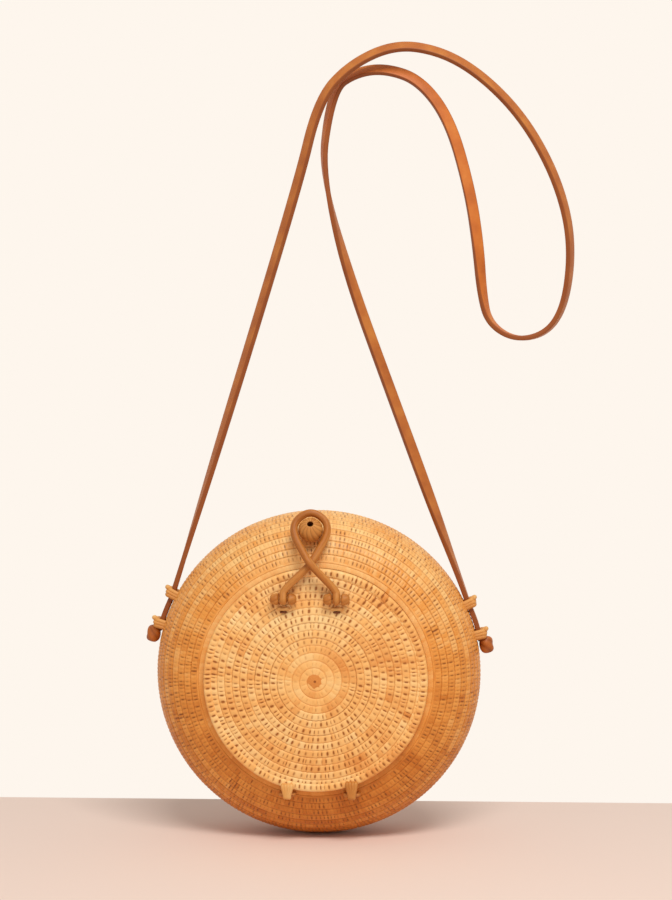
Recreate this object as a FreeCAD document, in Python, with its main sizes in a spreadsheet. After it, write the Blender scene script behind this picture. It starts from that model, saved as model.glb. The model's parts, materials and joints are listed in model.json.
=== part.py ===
import FreeCAD, Part
import math
import os
import re
import Sketcher
from FreeCAD import Placement, Rotation, Vector

# Round coiled-cane shoulder bag with a hinged lid, a loop-and-knob clasp and a leather strap.
# Millimetres. +Z is up, the lid faces -Y, and the origin is where the strap is gripped.
# Places on the bag are given from its centre: across to the right, ahead to the front, up.

SIZES = (
    ("grip_height", 298, "grip of the strap above the bag's centre"),
    ("bag_shift", 7.5, "bag's centre to the right of the grip"),
    ("body_radius", 100, "outline of the body"),
    ("edge_radius", 35, "round edge of the body, half its depth"),
    ("wall", 3.4, "woven wall of the body"),
    ("coil_relief", 0.45, "rows of the coiled edge over the grooves between them"),
    ("lining_gap", 0.3, "cloth lining clear of the weave"),
    ("lining_wall", 0.8, "cloth lining"),
    ("lid_lap", 3, "lid past the edge of the mouth"),
    ("lid_gap", 0.5, "back of the lid clear of the body's front"),
    ("lid_wall", 3, "woven lid"),
    ("lid_crown", 4, "rise of the lid's centre over its edge"),
    ("lid_lining_inset", 4, "cloth on the back of the lid, inside the edge of the mouth"),
    ("rim_height", 4.4, "bound edge of the lid, front to back"),
    ("rim_depth", 4, "bound edge of the lid, across"),
    ("seat_gap", 0.3, "clearance between pieces that seat on one another"),
    ("hole_gap", 0.15, "clearance of cane in its hole"),
    ("running_gap", 0.06, "clearance of a pin in its eye"),
    ("overrun", 6, "length by which a drill passes the wall"),
    ("strap_width", 7, "leather strap"),
    ("strap_thickness", 3, "leather strap"),
    ("upper_keeper_angle", 26.4, "upper keepers on the rim, above the level of the centre"),
    ("lower_keeper_angle", 15.2, "lower keepers on the rim"),
    ("keeper_shift_angle", 1.6, "keepers higher on the left and lower on the right"),
    ("pivot_lead_angle", 4.9, "where the strap leaves the rim, above the upper keepers"),
    ("tail_end_lag_angle", 2.3, "end of the strap below the lower keeper"),
    ("keeper_radius", 1.3, "cane of a keeper"),
    ("keeper_bend", 2.2, "corners of a keeper"),
    ("knot_radius", 4.5, "knot on the end of the strap"),
    ("knot_end_radius", 3, "flat end of that knot"),
    ("knot_length", 8.5, "knot on the end of the strap"),
    ("knob_angle", 53, "knob's place round the edge, from the rim to the front"),
    ("clasp_shift", -3, "clasp and knob beside the middle"),
    ("knob_radius", 7.5, "ball knob"),
    ("knob_bore", 2, "hole through the knob"),
    ("knob_cord_gap", 0.1, "cord in the knob"),
    ("knob_hollow", 1, "end of the cord below the knob's centre"),
    ("stop_radius", 4, "stop knot inside the wall"),
    ("stop_end_radius", 3, "flat end of the stop knot"),
    ("stop_length", 6, "stop knot inside the wall"),
    ("loop_radius", 2.3, "cord of the clasp loop"),
    ("loop_gap", 0.3, "loop clear of the knob"),
    ("foot_inset", 15, "knots of the loop below the edge of the mouth"),
    ("foot_spread", 16, "knots of the loop from the middle of the clasp"),
    ("foot_radius", 3.6, "bulbs of those knots"),
    ("foot_end_radius", 2.2, "flat ends of the bulbs"),
    ("foot_half_length", 8, "half of such a knot"),
    ("foot_pin", 1.6, "pin between the bulbs"),
    ("eye_half_width", 2.4, "half of the loop's end eye"),
    ("eye_gap", 0.3, "eye clear of the bulbs"),
    ("foot_rise", 4.5, "loop leaves its eye square, up to here"),
    ("rest_gap", 1.4, "loop over the lid's edge"),
    ("cross_gap", 0.5, "strands apart where they cross"),
    ("strand_bend", 9, "bends of the strands"),
    ("foot_bend", 4, "bend beside the eye"),
    ("ring_corner_angle", 10, "side corners of the ring round the knob"),
    ("stem_radius", 1.2, "cane from the knot through the lid"),
    ("toggle_radius", 1.7, "toggle inside the lid"),
    ("toggle_drop", 4, "toggle's axis behind the lid's edge"),
    ("hinge_spread", 19.5, "hinge ties from their middle"),
    ("hinge_shift", 2.5, "middle of the ties beside the bag's middle"),
    ("hinge_drop", 1.6, "hinge axis below the lid's lowest edge"),
    ("pin_radius", 1.1, "cane of a hinge staple"),
    ("pin_bend", 2, "corners of a hinge staple"),
    ("staple_half_width", 4.2, "legs of a hinge staple from its middle"),
    ("tie_radius", 1.2, "cane of a hinge tie"),
    ("tie_eye_radius", 2.8, "eye of a hinge tie"),
    ("tie_eye_half_width", 2, "half of that eye"),
    ("tie_gap", 0.2, "hinge tie in front of the lid's edge"),
    ("tie_inset", 2, "hole of the tie inside the outline of the bound edge"),
)

# Rows of the coil on a quarter of the round edge.
coil_rows = 12
# Shares of the distance from the loop's feet to the knob's centre.
cross_low_share = 0.43
cross_high_share = 0.56
cross_side_share = 0.05
# Share of the shorter run that an arc of the strap takes up.
strap_arc_share = 0.45

# Route of the strap between its two ends: over the hand, round the hanging bight and back.
# Across, back and up from the grip.
STRAP_ROUTE = (
    (-5.7, 0, -1.7),
    (7.2, 0, 52.9),
    (26.7, 0, 74.2),
    (54.1, 0, 86.6),
    (81.7, 0, 82.4),
    (106.2, 0, 68.2),
    (130.6, 0, 43.8),
    (148.9, 0, 13.2),
    (159.4, 0, -17.2),
    (161.8, 0, -44.5),
    (157.6, 0, -73.4),
    (147, 1, -89.4),
    (128, 2, -93.6),
    (111.6, 3, -83.2),
    (107.4, 3, -64.6),
    (105, 4, -35),
    (99.9, 6, -1.9),
    (87.8, 8, 40.8),
    (69.5, 9, 65.4),
    (48.1, 9, 72.8),
    (29.8, 9, 70.4),
    (14.6, 9, 59.6),
    (7.2, 8, -4.8),
    (73.7, 0, -184.4),
)

SIDES = (("left", -1), ("right", 1))

doc = FreeCAD.newDocument("CircleBag")
sheet = doc.addObject("Spreadsheet::Sheet", "Sizes")
for row, (alias, value, note) in enumerate(SIZES, start=1):
    sheet.set(f"A{row}", note)
    sheet.set(f"B{row}", str(value))
    sheet.setAlias(f"B{row}", alias)
doc.recompute()

ALIASES = {alias for alias, value, note in SIZES}


def bound(formula):
    """A formula in the sheet's names, as an expression that an object can hold."""
    def cell(found):
        word = found.group()
        return f"Sizes.{word}" if word in ALIASES else word
    return re.sub(r"[a-z_]+", cell, formula)


def number(formula):
    """The present value of a formula in the sheet's names."""
    return float(sheet.evalExpression(bound(formula)))


# Radii and levels that several pieces share, as formulas in the sheet's names.
FLAT = "(body_radius - edge_radius)"
INNER_EDGE = "(edge_radius - wall)"
GROOVE_EDGE = "(edge_radius - coil_relief)"
CLOTH_EDGE = f"({INNER_EDGE} - lining_gap)"
CLOTH_INSIDE = f"({CLOTH_EDGE} - lining_wall)"
LID_RADIUS = f"({FLAT} + lid_lap)"
LID_CLOTH = f"({FLAT} - lid_lining_inset)"
LID_BACK = "(edge_radius + lid_gap)"
LID_FRONT = f"({LID_BACK} + rim_height)"
DISC_RADIUS = f"({LID_RADIUS} - rim_depth)"
DISC_BACK = f"({LID_BACK} + (rim_height - lid_wall) / 2)"
DISC_FRONT = f"({DISC_BACK} + lid_wall)"
TAIL_INNER = "(body_radius + seat_gap)"
TAIL_OUTER = f"({TAIL_INNER} + strap_thickness)"
FOOT_HEIGHT = f"({FLAT} - foot_inset)"
HINGE_AHEAD = f"({LID_FRONT} + tie_gap + 2 * tie_radius - tie_eye_radius)"
HINGE_HEIGHT = f"(-{LID_RADIUS} - hinge_drop)"
PIVOT_ANGLE = "(upper_keeper_angle + pivot_lead_angle)"


def on_bag(across, ahead, up):
    """A place on the bag, from its centre."""
    return Vector(number("bag_shift") + across, -ahead, up - number("grip_height"))


def arc_centre(start, finish, line, level):
    """Centre of an arc through two points, on a line of given x or given y."""
    middle = (start + finish) / 2
    chord = finish - start
    if line == "x":
        return Vector(level, middle.y - (level - middle.x) * chord.x / chord.y, 0)
    return Vector(middle.x - (level - middle.y) * chord.y / chord.x, level, 0)


def draw_profile(body, corners, arcs):
    """A closed outline on the body's XY plane, its corners and arc centres tied to the sheet."""
    sketch = body.newObject("Sketcher::SketchObject", body.Name + "_profile")
    plane = next(item for item in body.Origin.OriginFeatures if item.Role == "XY_Plane")
    sketch.AttachmentSupport = (plane, [""])
    sketch.MapMode = "FlatFace"
    points = [Vector(number(across), number(along), 0) for across, along in corners]
    ends = []
    for index, start in enumerate(points):
        finish = points[(index + 1) % len(points)]
        if index not in arcs:
            sketch.addGeometry(Part.LineSegment(start, finish), False)
            ends.append((1, 2))
            continue
        line, formula, turn = arcs[index]
        centre = arc_centre(start, finish, line, number(formula))
        first, last = (start, finish) if turn > 0 else (finish, start)
        low = math.atan2(first.y - centre.y, first.x - centre.x)
        high = math.atan2(last.y - centre.y, last.x - centre.x)
        circle = Part.Circle(centre, Vector(0, 0, 1), (start - centre).Length)
        sketch.addGeometry(Part.ArcOfCircle(circle, low, high), False)
        ends.append((1, 2) if turn > 0 else (2, 1))

    def tie(kind, item, spot, formula):
        place = sketch.Geometry[item]
        point = {1: "StartPoint", 2: "EndPoint", 3: "Center"}[spot]
        value = getattr(getattr(place, point), "x" if kind == "DistanceX" else "y")
        if formula == "0":
            sketch.addConstraint(Sketcher.Constraint("PointOnObject", item, spot,
                                                     -2 if kind == "DistanceX" else -1))
            return
        mark = sketch.addConstraint(Sketcher.Constraint(kind, -1, 1, item, spot, value))
        sketch.setExpression(f"Constraints[{mark}]", bound(formula))

    for index, (across, along) in enumerate(corners):
        previous = (index - 1) % len(corners)
        sketch.addConstraint(Sketcher.Constraint("Coincident", previous, ends[previous][1],
                                                 index, ends[index][0]))
        tie("DistanceX", index, ends[index][0], across)
        tie("DistanceY", index, ends[index][0], along)
    for index, (line, formula, turn) in arcs.items():
        tie("DistanceX" if line == "x" else "DistanceY", index, 3, formula)
    return sketch


def turned(name, corners, arcs, axis, place):
    """A solid of revolution about the sketch's upright or level axis."""
    body = doc.addObject("PartDesign::Body", name)
    sketch = draw_profile(body, corners, arcs)
    turn = body.newObject("PartDesign::Revolution", name + "_turn")
    turn.Profile = sketch
    turn.ReferenceAxis = (sketch, [axis])
    turn.Angle = 360
    sketch.Visibility = False
    body.Tip = turn
    body.Placement = place
    return body


def barrel(start, finish, radius, end_radius):
    """Outline of a barrel with round shoulders, between two levels on its upright axis."""
    shoulder = f"({radius} - {end_radius})"
    corners = (("0", start), (end_radius, start), (radius, f"{start} + {shoulder}"),
               (radius, f"{finish} - {shoulder}"), (end_radius, finish), ("0", finish))
    return corners, {1: ("x", end_radius, 1), 3: ("x", end_radius, 1)}


def rod(name, radius, length, foot, direction):
    """A round bar from its foot along a direction."""
    bar = doc.addObject("Part::Cylinder", name)
    bar.setExpression("Radius", bound(radius))
    bar.setExpression("Height", bound(length))
    bar.Placement = Placement(foot, Rotation(Vector(0, 0, 1), direction))
    return bar


def fused(name, pieces):
    joined = doc.addObject("Part::MultiFuse", name)
    joined.Shapes = pieces
    return joined


def drilled(name, base, drills):
    """A piece with its holes."""
    holes = doc.addObject("Part::Compound", name + "_holes")
    holes.Links = drills
    cut = doc.addObject("Part::Cut", name)
    cut.Base = base
    cut.Tool = holes
    return cut


def rounded_wire(points, radii, closed=False):
    """Straight runs between the points, joined by arcs that touch both runs at each corner."""
    count = len(points)
    corners = range(count) if closed else range(1, count - 1)
    arcs = {}
    for index in corners:
        before = (points[index - 1] - points[index]).normalize()
        after = (points[(index + 1) % count] - points[index]).normalize()
        half = before.getAngle(after) / 2
        reach = radii[index] / math.tan(half)
        inwards = (before + after).normalize()
        arcs[index] = (points[index] + before * reach,
                       points[index] + inwards * (radii[index] / math.sin(half) - radii[index]),
                       points[index] + after * reach)
    edges = []
    for index in range(count if closed else count - 1):
        following = (index + 1) % count
        start = arcs[index][2] if index in arcs else points[index]
        finish = arcs[following][0] if following in arcs else points[following]
        edges.append(Part.LineSegment(start, finish).toShape())
        if following in arcs:
            edges.append(Part.Arc(*arcs[following]).toShape())
    return Part.Wire(edges)


def tube(wire, radius):
    """A round cane along a wire."""
    first = wire.OrderedEdges[0]
    start = first.valueAt(first.FirstParameter)
    along = first.tangentAt(first.FirstParameter)
    section = Part.Wire(Part.makeCircle(radius, start, along))
    return wire.makePipeShell([section], True, False)


def shaped(name, shape, place):
    """A piece whose form is a swept cane."""
    piece = doc.addObject("Part::Feature", name)
    piece.Shape = shape
    piece.Placement = place
    return piece


BAG = Placement(on_bag(0, 0, 0), Rotation())


def coiled_edge():
    """Corners and arcs of the coil's rows on a quarter of the round edge, from the rim to the flat."""
    step = 90 / coil_rows
    row_centre = (f"((edge_radius ^ 2 - {GROOVE_EDGE} ^ 2)"
                  f" / (2 * (edge_radius - {GROOVE_EDGE} * cos({step / 2}))))")
    corners = [("body_radius", "0")]
    arcs = []
    for row in range(coil_rows + 1):
        across, along = f"{FLAT} + {row_centre} * cos({row * step})", f"{row_centre} * sin({row * step})"
        arcs.append(("x", across) if 2 * row < coil_rows else ("y", along))
        if row < coil_rows:
            groove = (row + 1 / 2) * step
            corners.append((f"{FLAT} + {GROOVE_EDGE} * cos({groove})", f"{GROOVE_EDGE} * sin({groove})"))
    return corners + [(FLAT, "edge_radius")], arcs


def rim_turn(side, angle):
    """Turn of a frame whose X points out at the rim, at an angle above the centre."""
    return Rotation(Vector(0, 1, 0), -angle if side > 0 else angle - 180)


def rim_outwards(side, angle):
    return rim_turn(side, angle).multVec(Vector(1, 0, 0))


def keeper_angle(level, side):
    """A keeper's place on the rim, on the left (-1) or the right (1)."""
    return number(f"{level}_keeper_angle") - side * number("keeper_shift_angle")


def keeper_drills(name, row):
    """Holes for the front (-1) or the back (1) legs of the keepers."""
    drills = []
    for side_name, side in SIDES:
        for level in ("upper", "lower"):
            outwards = rim_outwards(side, keeper_angle(level, side))
            leg = Vector(0, row * KEEPER_HALF, 0)
            foot = BAG.Base + outwards * number("body_radius - wall - 2 * overrun") + leg
            drills.append(rod(f"{name}_{level}_{side_name}_{'back' if row > 0 else 'front'}",
                              "keeper_radius + hole_gap", "wall + 3 * overrun", foot, outwards))
    return drills


def shoulder_drills(name):
    """Holes for the hinge staples and the knob's cord."""
    drills = []
    for side_name, side in SIDES:
        for row in (-1, 1):
            across = hinge_across(side) + row * number("staple_half_width")
            foot = on_bag(across, number(f"{CLOTH_INSIDE} - 2 * overrun"), number(HINGE_HEIGHT))
            drills.append(rod(f"{name}_staple_{side_name}_{'out' if row > 0 else 'in'}",
                              "pin_radius + hole_gap", "wall + 4 * overrun", foot, Vector(0, -1, 0)))
    drills.append(rod(f"{name}_knob", "knob_bore + hole_gap", "wall + 3 * overrun",
                      knob_place(number(f"{CLOTH_INSIDE} - overrun")), KNOB_AXIS))
    return drills


def hinge_across(side):
    return number("hinge_shift") + side * number("hinge_spread")


def knob_place(distance):
    """A place on the knob's axis, at a distance from the centre line of the round edge."""
    angle = math.radians(number("knob_angle"))
    return on_bag(number("clasp_shift"), distance * math.sin(angle),
                  number(FLAT) + distance * math.cos(angle))


KEEPER_HALF = number("strap_width / 2 + seat_gap + keeper_radius")
KNOB_AXIS = (knob_place(1) - knob_place(0)).normalize()

# Body: a flat back, and a round edge in a back and a front half, open in front at the mouth.
turned("back_panel", (
    ("0", "edge_radius"), (FLAT, "edge_radius"), (FLAT, INNER_EDGE), ("0", INNER_EDGE)), {}, "V_Axis", BAG)
coil_corners, coil_arcs = coiled_edge()
back_arcs = {row: (*arc, -1) for row, arc in enumerate(coil_arcs[::-1])}
back_arcs[len(coil_corners)] = ("x", FLAT, 1)
back_blank = turned("back_blank", coil_corners[::-1] + [("body_radius - wall", "0"), (FLAT, INNER_EDGE)],
                    back_arcs, "V_Axis", BAG)
drilled("back_edge", back_blank, keeper_drills("back_edge", 1))
front_corners = [(across, along if along == "0" else f"-{along}") for across, along in coil_corners]
front_arcs = {row: (line, level if line == "x" else f"-{level}", -1)
              for row, (line, level) in enumerate(coil_arcs)}
front_arcs[len(coil_corners)] = ("x", FLAT, 1)
front_blank = turned("front_blank", front_corners + [(FLAT, f"-{INNER_EDGE}"), ("body_radius - wall", "0")],
                     front_arcs, "V_Axis", BAG)
drilled("front_edge", front_blank, keeper_drills("front_edge", -1) + shoulder_drills("front_edge"))

# Half-round binding on the edge of the mouth.
turned("mouth_rim", ((FLAT, "-edge_radius"), (FLAT, f"-{INNER_EDGE}")),
       {0: ("x", FLAT, -1)}, "V_Axis", BAG)

# Cloth lining against the inside of the weave.
lining_blank = turned("lining_blank", (
    ("0", CLOTH_EDGE), (FLAT, CLOTH_EDGE), (FLAT, f"-{CLOTH_EDGE}"),
    (FLAT, f"-{CLOTH_INSIDE}"), (FLAT, CLOTH_INSIDE), ("0", CLOTH_INSIDE)),
    {1: ("x", FLAT, -1), 3: ("x", FLAT, 1)}, "V_Axis", BAG)
drilled("body_lining", lining_blank,
        keeper_drills("lining", -1) + keeper_drills("lining", 1) + shoulder_drills("lining"))

# Strap keepers: a closed cane loop through the wall and over the strap.
keeper_in = number(f"{FLAT} + {CLOTH_INSIDE} - seat_gap - keeper_radius")
keeper_in -= number(CLOTH_INSIDE) - math.sqrt(number(CLOTH_INSIDE) ** 2 - KEEPER_HALF ** 2)
keeper_out = number(f"{TAIL_OUTER} + seat_gap + keeper_radius")
for side_name, side in SIDES:
    for level in ("upper", "lower"):
        turn = rim_turn(side, keeper_angle(level, side))
        corners = [Vector(keeper_in, -KEEPER_HALF, 0), Vector(keeper_out, -KEEPER_HALF, 0),
                   Vector(keeper_out, KEEPER_HALF, 0), Vector(keeper_in, KEEPER_HALF, 0)]
        loop = rounded_wire(corners, [number("keeper_bend")] * len(corners), closed=True)
        shaped(f"keeper_{level}_{side_name}", tube(loop, number("keeper_radius")),
               Placement(BAG.Base, turn))

# Ends of the strap: a flat band along the rim under the keepers, and a barrel knot below it.
pivot_turn = math.radians(number(PIVOT_ANGLE))
half_width = number("strap_width / 2")
half_leather = number("strap_thickness / 2")
pivot_radius = number(TAIL_INNER) + half_leather * math.cos(pivot_turn) + half_width * math.sin(pivot_turn)
pivot_room = math.degrees(number("strap_width / 2 + seat_gap + hole_gap") / pivot_radius)
tail_top = number(PIVOT_ANGLE) - pivot_room
for side_name, side in SIDES:
    low = keeper_angle("lower", side) - number("tail_end_lag_angle")
    start = -tail_top if side > 0 else 180 + low
    bands = []
    for name, radius in (("outer", TAIL_OUTER), ("inner", TAIL_INNER)):
        band = doc.addObject("Part::Cylinder", f"tail_{name}_{side_name}")
        band.setExpression("Radius", bound(radius))
        band.setExpression("Height", bound("strap_width"))
        band.Angle = tail_top - low
        upright = Rotation(Vector(1, 0, 0), -90)
        spin = Rotation(Vector(0, 0, 1), start)
        band.Placement = Placement(on_bag(0, number("strap_width / 2"), 0), upright.multiply(spin))
        bands.append(band)
    tail = doc.addObject("Part::Cut", f"strap_tail_{side_name}")
    tail.Base, tail.Tool = bands
    outwards = rim_outwards(side, low)
    downwards = Vector(outwards.z * side, 0, -outwards.x * side)
    knot_centre = BAG.Base + outwards * number(f"{TAIL_INNER} + knot_radius")
    turned(f"strap_knot_{side_name}", *barrel("0", "knot_length", "knot_radius", "knot_end_radius"),
           "V_Axis", Placement(knot_centre, Rotation(Vector(0, 1, 0), downwards)))

# Strap: flat leather along its route, with a round end about the swing axis on each side.
pivots = [on_bag(side * pivot_radius * math.cos(pivot_turn), 0, pivot_radius * math.sin(pivot_turn))
          for side_name, side in SIDES]
route = [pivots[0]] + [Vector(*place) for place in STRAP_ROUTE] + [pivots[1]]
strap_radii = [0] * len(route)
for index in range(1, len(route) - 1):
    before = route[index] - route[index - 1]
    after = route[index + 1] - route[index]
    half_turn = before.getAngle(after) / 2
    strap_radii[index] = strap_arc_share * min(before.Length, after.Length) / math.tan(half_turn)
print("strap radii", [round(radius) for radius in strap_radii[1:-1]])
strap_wire = rounded_wire(route, strap_radii)
print("strap length", round(strap_wire.Length, 1))
run = (route[1] - route[0]).normalize()
flat = run.cross(Vector(0, 1, 0)).normalize()
edge = Vector(0, half_width, 0)
section = Part.makePolygon([route[0] + flat * half_leather + edge, route[0] - flat * half_leather + edge,
                            route[0] - flat * half_leather - edge, route[0] + flat * half_leather - edge,
                            route[0] + flat * half_leather + edge])
pipe = Part.BRepOffsetAPI.MakePipeShell(strap_wire)
pipe.setBiNormalMode(Vector(0, 1, 0))
pipe.add(section)
pipe.build()
pipe.makeSolid()
leather = pipe.shape()
print("strap volume over section times length",
      round(leather.Volume / (strap_wire.Length * number("strap_width * strap_thickness")), 4))
for pivot in pivots:
    half_axle = Vector(half_leather, 0, 0)
    leather = leather.fuse(Part.makeCylinder(half_width, 2 * half_leather, pivot - half_axle, half_axle))
shaped("shoulder_strap", leather.removeSplitter(), Placement())

# Knob: a drilled ball on a cord through the wall, stopped inside by a knot.
bore_end = "sqrt(knob_radius ^ 2 - knob_bore ^ 2)"
knob_seat = "(edge_radius + seat_gap + knob_radius)"
facing_knob = Rotation(Vector(0, 1, 0), KNOB_AXIS)
turned("knob", (("knob_bore", f"-{bore_end}"), ("knob_bore", bore_end)),
       {1: ("x", "0", -1)}, "V_Axis", Placement(knob_place(number(knob_seat)), facing_knob))
stop_top = f"({CLOTH_INSIDE} - seat_gap - hole_gap)"
rod("knob_cord", "knob_bore - knob_cord_gap", f"{knob_seat} - knob_hollow - {stop_top}",
    knob_place(number(stop_top)), KNOB_AXIS)
turned("knob_stop", *barrel("-stop_length", "0", "stop_radius", "stop_end_radius"), "V_Axis",
       Placement(knob_place(number(stop_top)), facing_knob))

# Lid: a crowned woven disc with a bound edge and a cloth back.
lid_blank = turned("lid_blank", (
    ("0", f"-({DISC_FRONT} + lid_crown)"), ("0", f"-({DISC_BACK} + lid_crown)"),
    (DISC_RADIUS, f"-{DISC_BACK}"), (DISC_RADIUS, f"-{DISC_FRONT}")),
    {1: ("x", "0", 1), 3: ("x", "0", -1)}, "V_Axis", BAG)
rim_round = f"({LID_RADIUS} - rim_height / 2)"
rim_blank = turned("rim_blank", (
    (DISC_RADIUS, f"-{LID_BACK}"), (DISC_RADIUS, f"-{LID_FRONT}"),
    (rim_round, f"-{LID_FRONT}"), (rim_round, f"-{LID_BACK}")),
    {2: ("x", rim_round, 1)}, "V_Axis", BAG)
crown_share = f"(1 - ({LID_CLOTH} / {DISC_RADIUS}) ^ 2)"
cloth_front = f"({DISC_BACK} - lining_gap)"
cloth_back = f"({cloth_front} - lining_wall)"
cloth_blank = turned("cloth_blank", (
    ("0", f"-({cloth_front} + lid_crown)"), ("0", f"-({cloth_back} + lid_crown)"),
    (LID_CLOTH, f"-({cloth_back} + lid_crown * {crown_share})"),
    (LID_CLOTH, f"-({cloth_front} + lid_crown * {crown_share})")),
    {1: ("x", "0", 1), 3: ("x", "0", -1)}, "V_Axis", BAG)

# Clasp knots: two bulbs and a pin between them, on stems through the lid into a toggle.
foot_rise_share = f"(1 - ({FOOT_HEIGHT} / {DISC_RADIUS}) ^ 2)"
foot_level = f"({DISC_FRONT} + lid_crown * {foot_rise_share} + foot_radius + seat_gap)"
toggle_level = f"({DISC_BACK} + lid_crown * {crown_share} - toggle_drop)"
foot_ahead = number(foot_level)
toggle_ahead = number(toggle_level)
bulb_middle = number("(foot_half_length + eye_half_width + eye_gap) / 2")
shoulder = "(foot_radius - foot_end_radius)"
throat = "(eye_half_width + eye_gap)"
backwards = Vector(0, 1, 0)
lid_drills = []
cloth_drills = []
for side_name, side in SIDES:
    across = number("clasp_shift") + side * number("foot_spread")
    spool = turned(f"spool_{side_name}", (
        ("-foot_half_length", "0"), ("-foot_half_length", "foot_end_radius"),
        (f"{shoulder} - foot_half_length", "foot_radius"), (f"-{throat} - {shoulder}", "foot_radius"),
        (f"-{throat}", "foot_end_radius"), (f"-{throat}", "foot_pin"),
        (throat, "foot_pin"), (throat, "foot_end_radius"),
        (f"{throat} + {shoulder}", "foot_radius"), (f"foot_half_length - {shoulder}", "foot_radius"),
        ("foot_half_length", "foot_end_radius"), ("foot_half_length", "0")),
        {corner: ("y", "foot_end_radius", -1) for corner in (1, 3, 7, 9)}, "H_Axis",
        Placement(on_bag(across, foot_ahead, number(FOOT_HEIGHT)), Rotation()))
    toggle_foot = on_bag(across - number("foot_half_length"), toggle_ahead, number(FOOT_HEIGHT))
    toggle = rod(f"toggle_{side_name}", "toggle_radius", "2 * foot_half_length", toggle_foot,
                 Vector(1, 0, 0))
    stems = []
    toggle_drills = []
    for row_name, row in (("in", -1), ("out", 1)):
        spot = on_bag(across + row * bulb_middle, foot_ahead, number(FOOT_HEIGHT))
        stems.append(rod(f"stem_{side_name}_{row_name}", "stem_radius",
                         f"{foot_level} - {toggle_level} + toggle_radius", spot, backwards))
        for name, drills in (("lid", lid_drills), ("cloth", cloth_drills), ("toggle", toggle_drills)):
            drills.append(rod(f"{name}_stem_{side_name}_{row_name}", "stem_radius + hole_gap",
                              "rim_height + 4 * overrun", spot, backwards))
    fused(f"clasp_knot_{side_name}", [spool] + stems)
    drilled(f"clasp_stop_{side_name}", toggle, toggle_drills)
drilled("lid_disc", lid_blank, lid_drills)
drilled("lid_lining", cloth_blank, cloth_drills)

# Hinge: a cane staple through the shoulder, and a tie on the lid whose eye turns on it.
hinge_ahead = number(HINGE_AHEAD)
tie_ahead = hinge_ahead + number("tie_eye_radius - tie_radius")
staple_half = number("staple_half_width")
rim_drills = []
for side_name, side in SIDES:
    across = hinge_across(side)
    far_leg = math.hypot(abs(across) + staple_half + number("pin_radius"), number(HINGE_HEIGHT))
    depth = math.sqrt(number(CLOTH_INSIDE) ** 2 - (far_leg - number(FLAT)) ** 2)
    inside = depth - number("seat_gap + pin_radius")
    corners = [Vector(-staple_half, -inside, 0), Vector(-staple_half, -hinge_ahead, 0),
               Vector(staple_half, -hinge_ahead, 0), Vector(staple_half, -inside, 0)]
    loop = rounded_wire(corners, [number("pin_bend")] * len(corners), closed=True)
    shaped(f"hinge_staple_{side_name}", tube(loop, number("pin_radius")),
           Placement(on_bag(across, 0, number(HINGE_HEIGHT)), Rotation()))

    tie_top = -math.sqrt(number(f"{LID_RADIUS} - tie_inset") ** 2 - across ** 2)
    places = [Vector(0, -number(LID_BACK), tie_top), Vector(0, -tie_ahead, tie_top),
              Vector(0, -tie_ahead, number(HINGE_HEIGHT))]
    arm = tube(rounded_wire(places, [number("pin_bend")] * len(places)), number("tie_radius"))
    eye_half = Vector(number("tie_eye_half_width"), 0, 0)
    axis = Vector(0, -hinge_ahead, number(HINGE_HEIGHT))
    eye = Part.makeCylinder(number("tie_eye_radius"), 2 * eye_half.Length, axis - eye_half, eye_half)
    bore = Part.makeCylinder(number("pin_radius + running_gap"), 2 * eye_half.Length, axis - eye_half,
                             eye_half)
    shaped(f"hinge_tie_{side_name}", arm.fuse(eye).cut(bore).removeSplitter(),
           Placement(on_bag(across, 0, 0), Rotation()))
    rim_drills.append(rod(f"rim_tie_{side_name}", "tie_radius + hole_gap", "rim_height + 2 * overrun",
                          on_bag(across, tie_ahead + number("overrun"), tie_top), backwards))
drilled("lid_rim", rim_blank, rim_drills)

# Clasp loop: one crossed cord from eye to eye, with a ring round the knob.
# It is laid out in the plane of its swing axis and the knob's centre, then leant back to the knob.
foot_place = on_bag(number("clasp_shift"), foot_ahead, number(FOOT_HEIGHT))
to_knob = knob_place(number(knob_seat)) - foot_place
reach = to_knob.Length
spread = number("foot_spread")
eye_rise = number("foot_rise")
cross_low = cross_low_share * reach
cross_high = cross_high_share * reach
cross_side = cross_side_share * reach
ring_radius = number("knob_radius + loop_gap + loop_radius")
corner_angle = math.radians(number("ring_corner_angle"))
corner_reach = ring_radius / math.cos((math.pi / 2 - corner_angle) / 2)
corner_side = corner_reach * math.cos(corner_angle)
corner_up = reach + corner_reach * math.sin(corner_angle)
over_rim = number(f"{LID_RADIUS} - rim_height / 2 - {FOOT_HEIGHT}") / to_knob.z
plane_ahead = foot_ahead - to_knob.y * over_rim
rest = plane_ahead - number(f"{LID_FRONT} + rest_gap + loop_radius")
ahead = rest - number("2 * loop_radius + cross_gap")
foot_bend = number("foot_bend")
strand_bend = number("strand_bend")
loop_points = [
    Vector(-spread, 0, 0), Vector(-spread, 0, eye_rise), Vector(-cross_side, rest, cross_low),
    Vector(cross_side, rest, cross_high), Vector(corner_side, 0, corner_up),
    Vector(0, 0, reach + corner_reach), Vector(-corner_side, 0, corner_up),
    Vector(-cross_side, ahead, cross_high), Vector(cross_side, ahead, cross_low),
    Vector(spread, 0, eye_rise), Vector(spread, 0, 0)]
loop_radii = [0, foot_bend, strand_bend, strand_bend, ring_radius, ring_radius, ring_radius,
              strand_bend, strand_bend, foot_bend, 0]
loop_cord = tube(rounded_wire(loop_points, loop_radii), number("loop_radius"))
eye_half = Vector(number("eye_half_width"), 0, 0)
for foot in (loop_points[0], loop_points[-1]):
    eye = Part.makeCylinder(number("foot_radius"), 2 * eye_half.Length, foot - eye_half, eye_half)
    loop_cord = loop_cord.fuse(eye)
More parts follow.
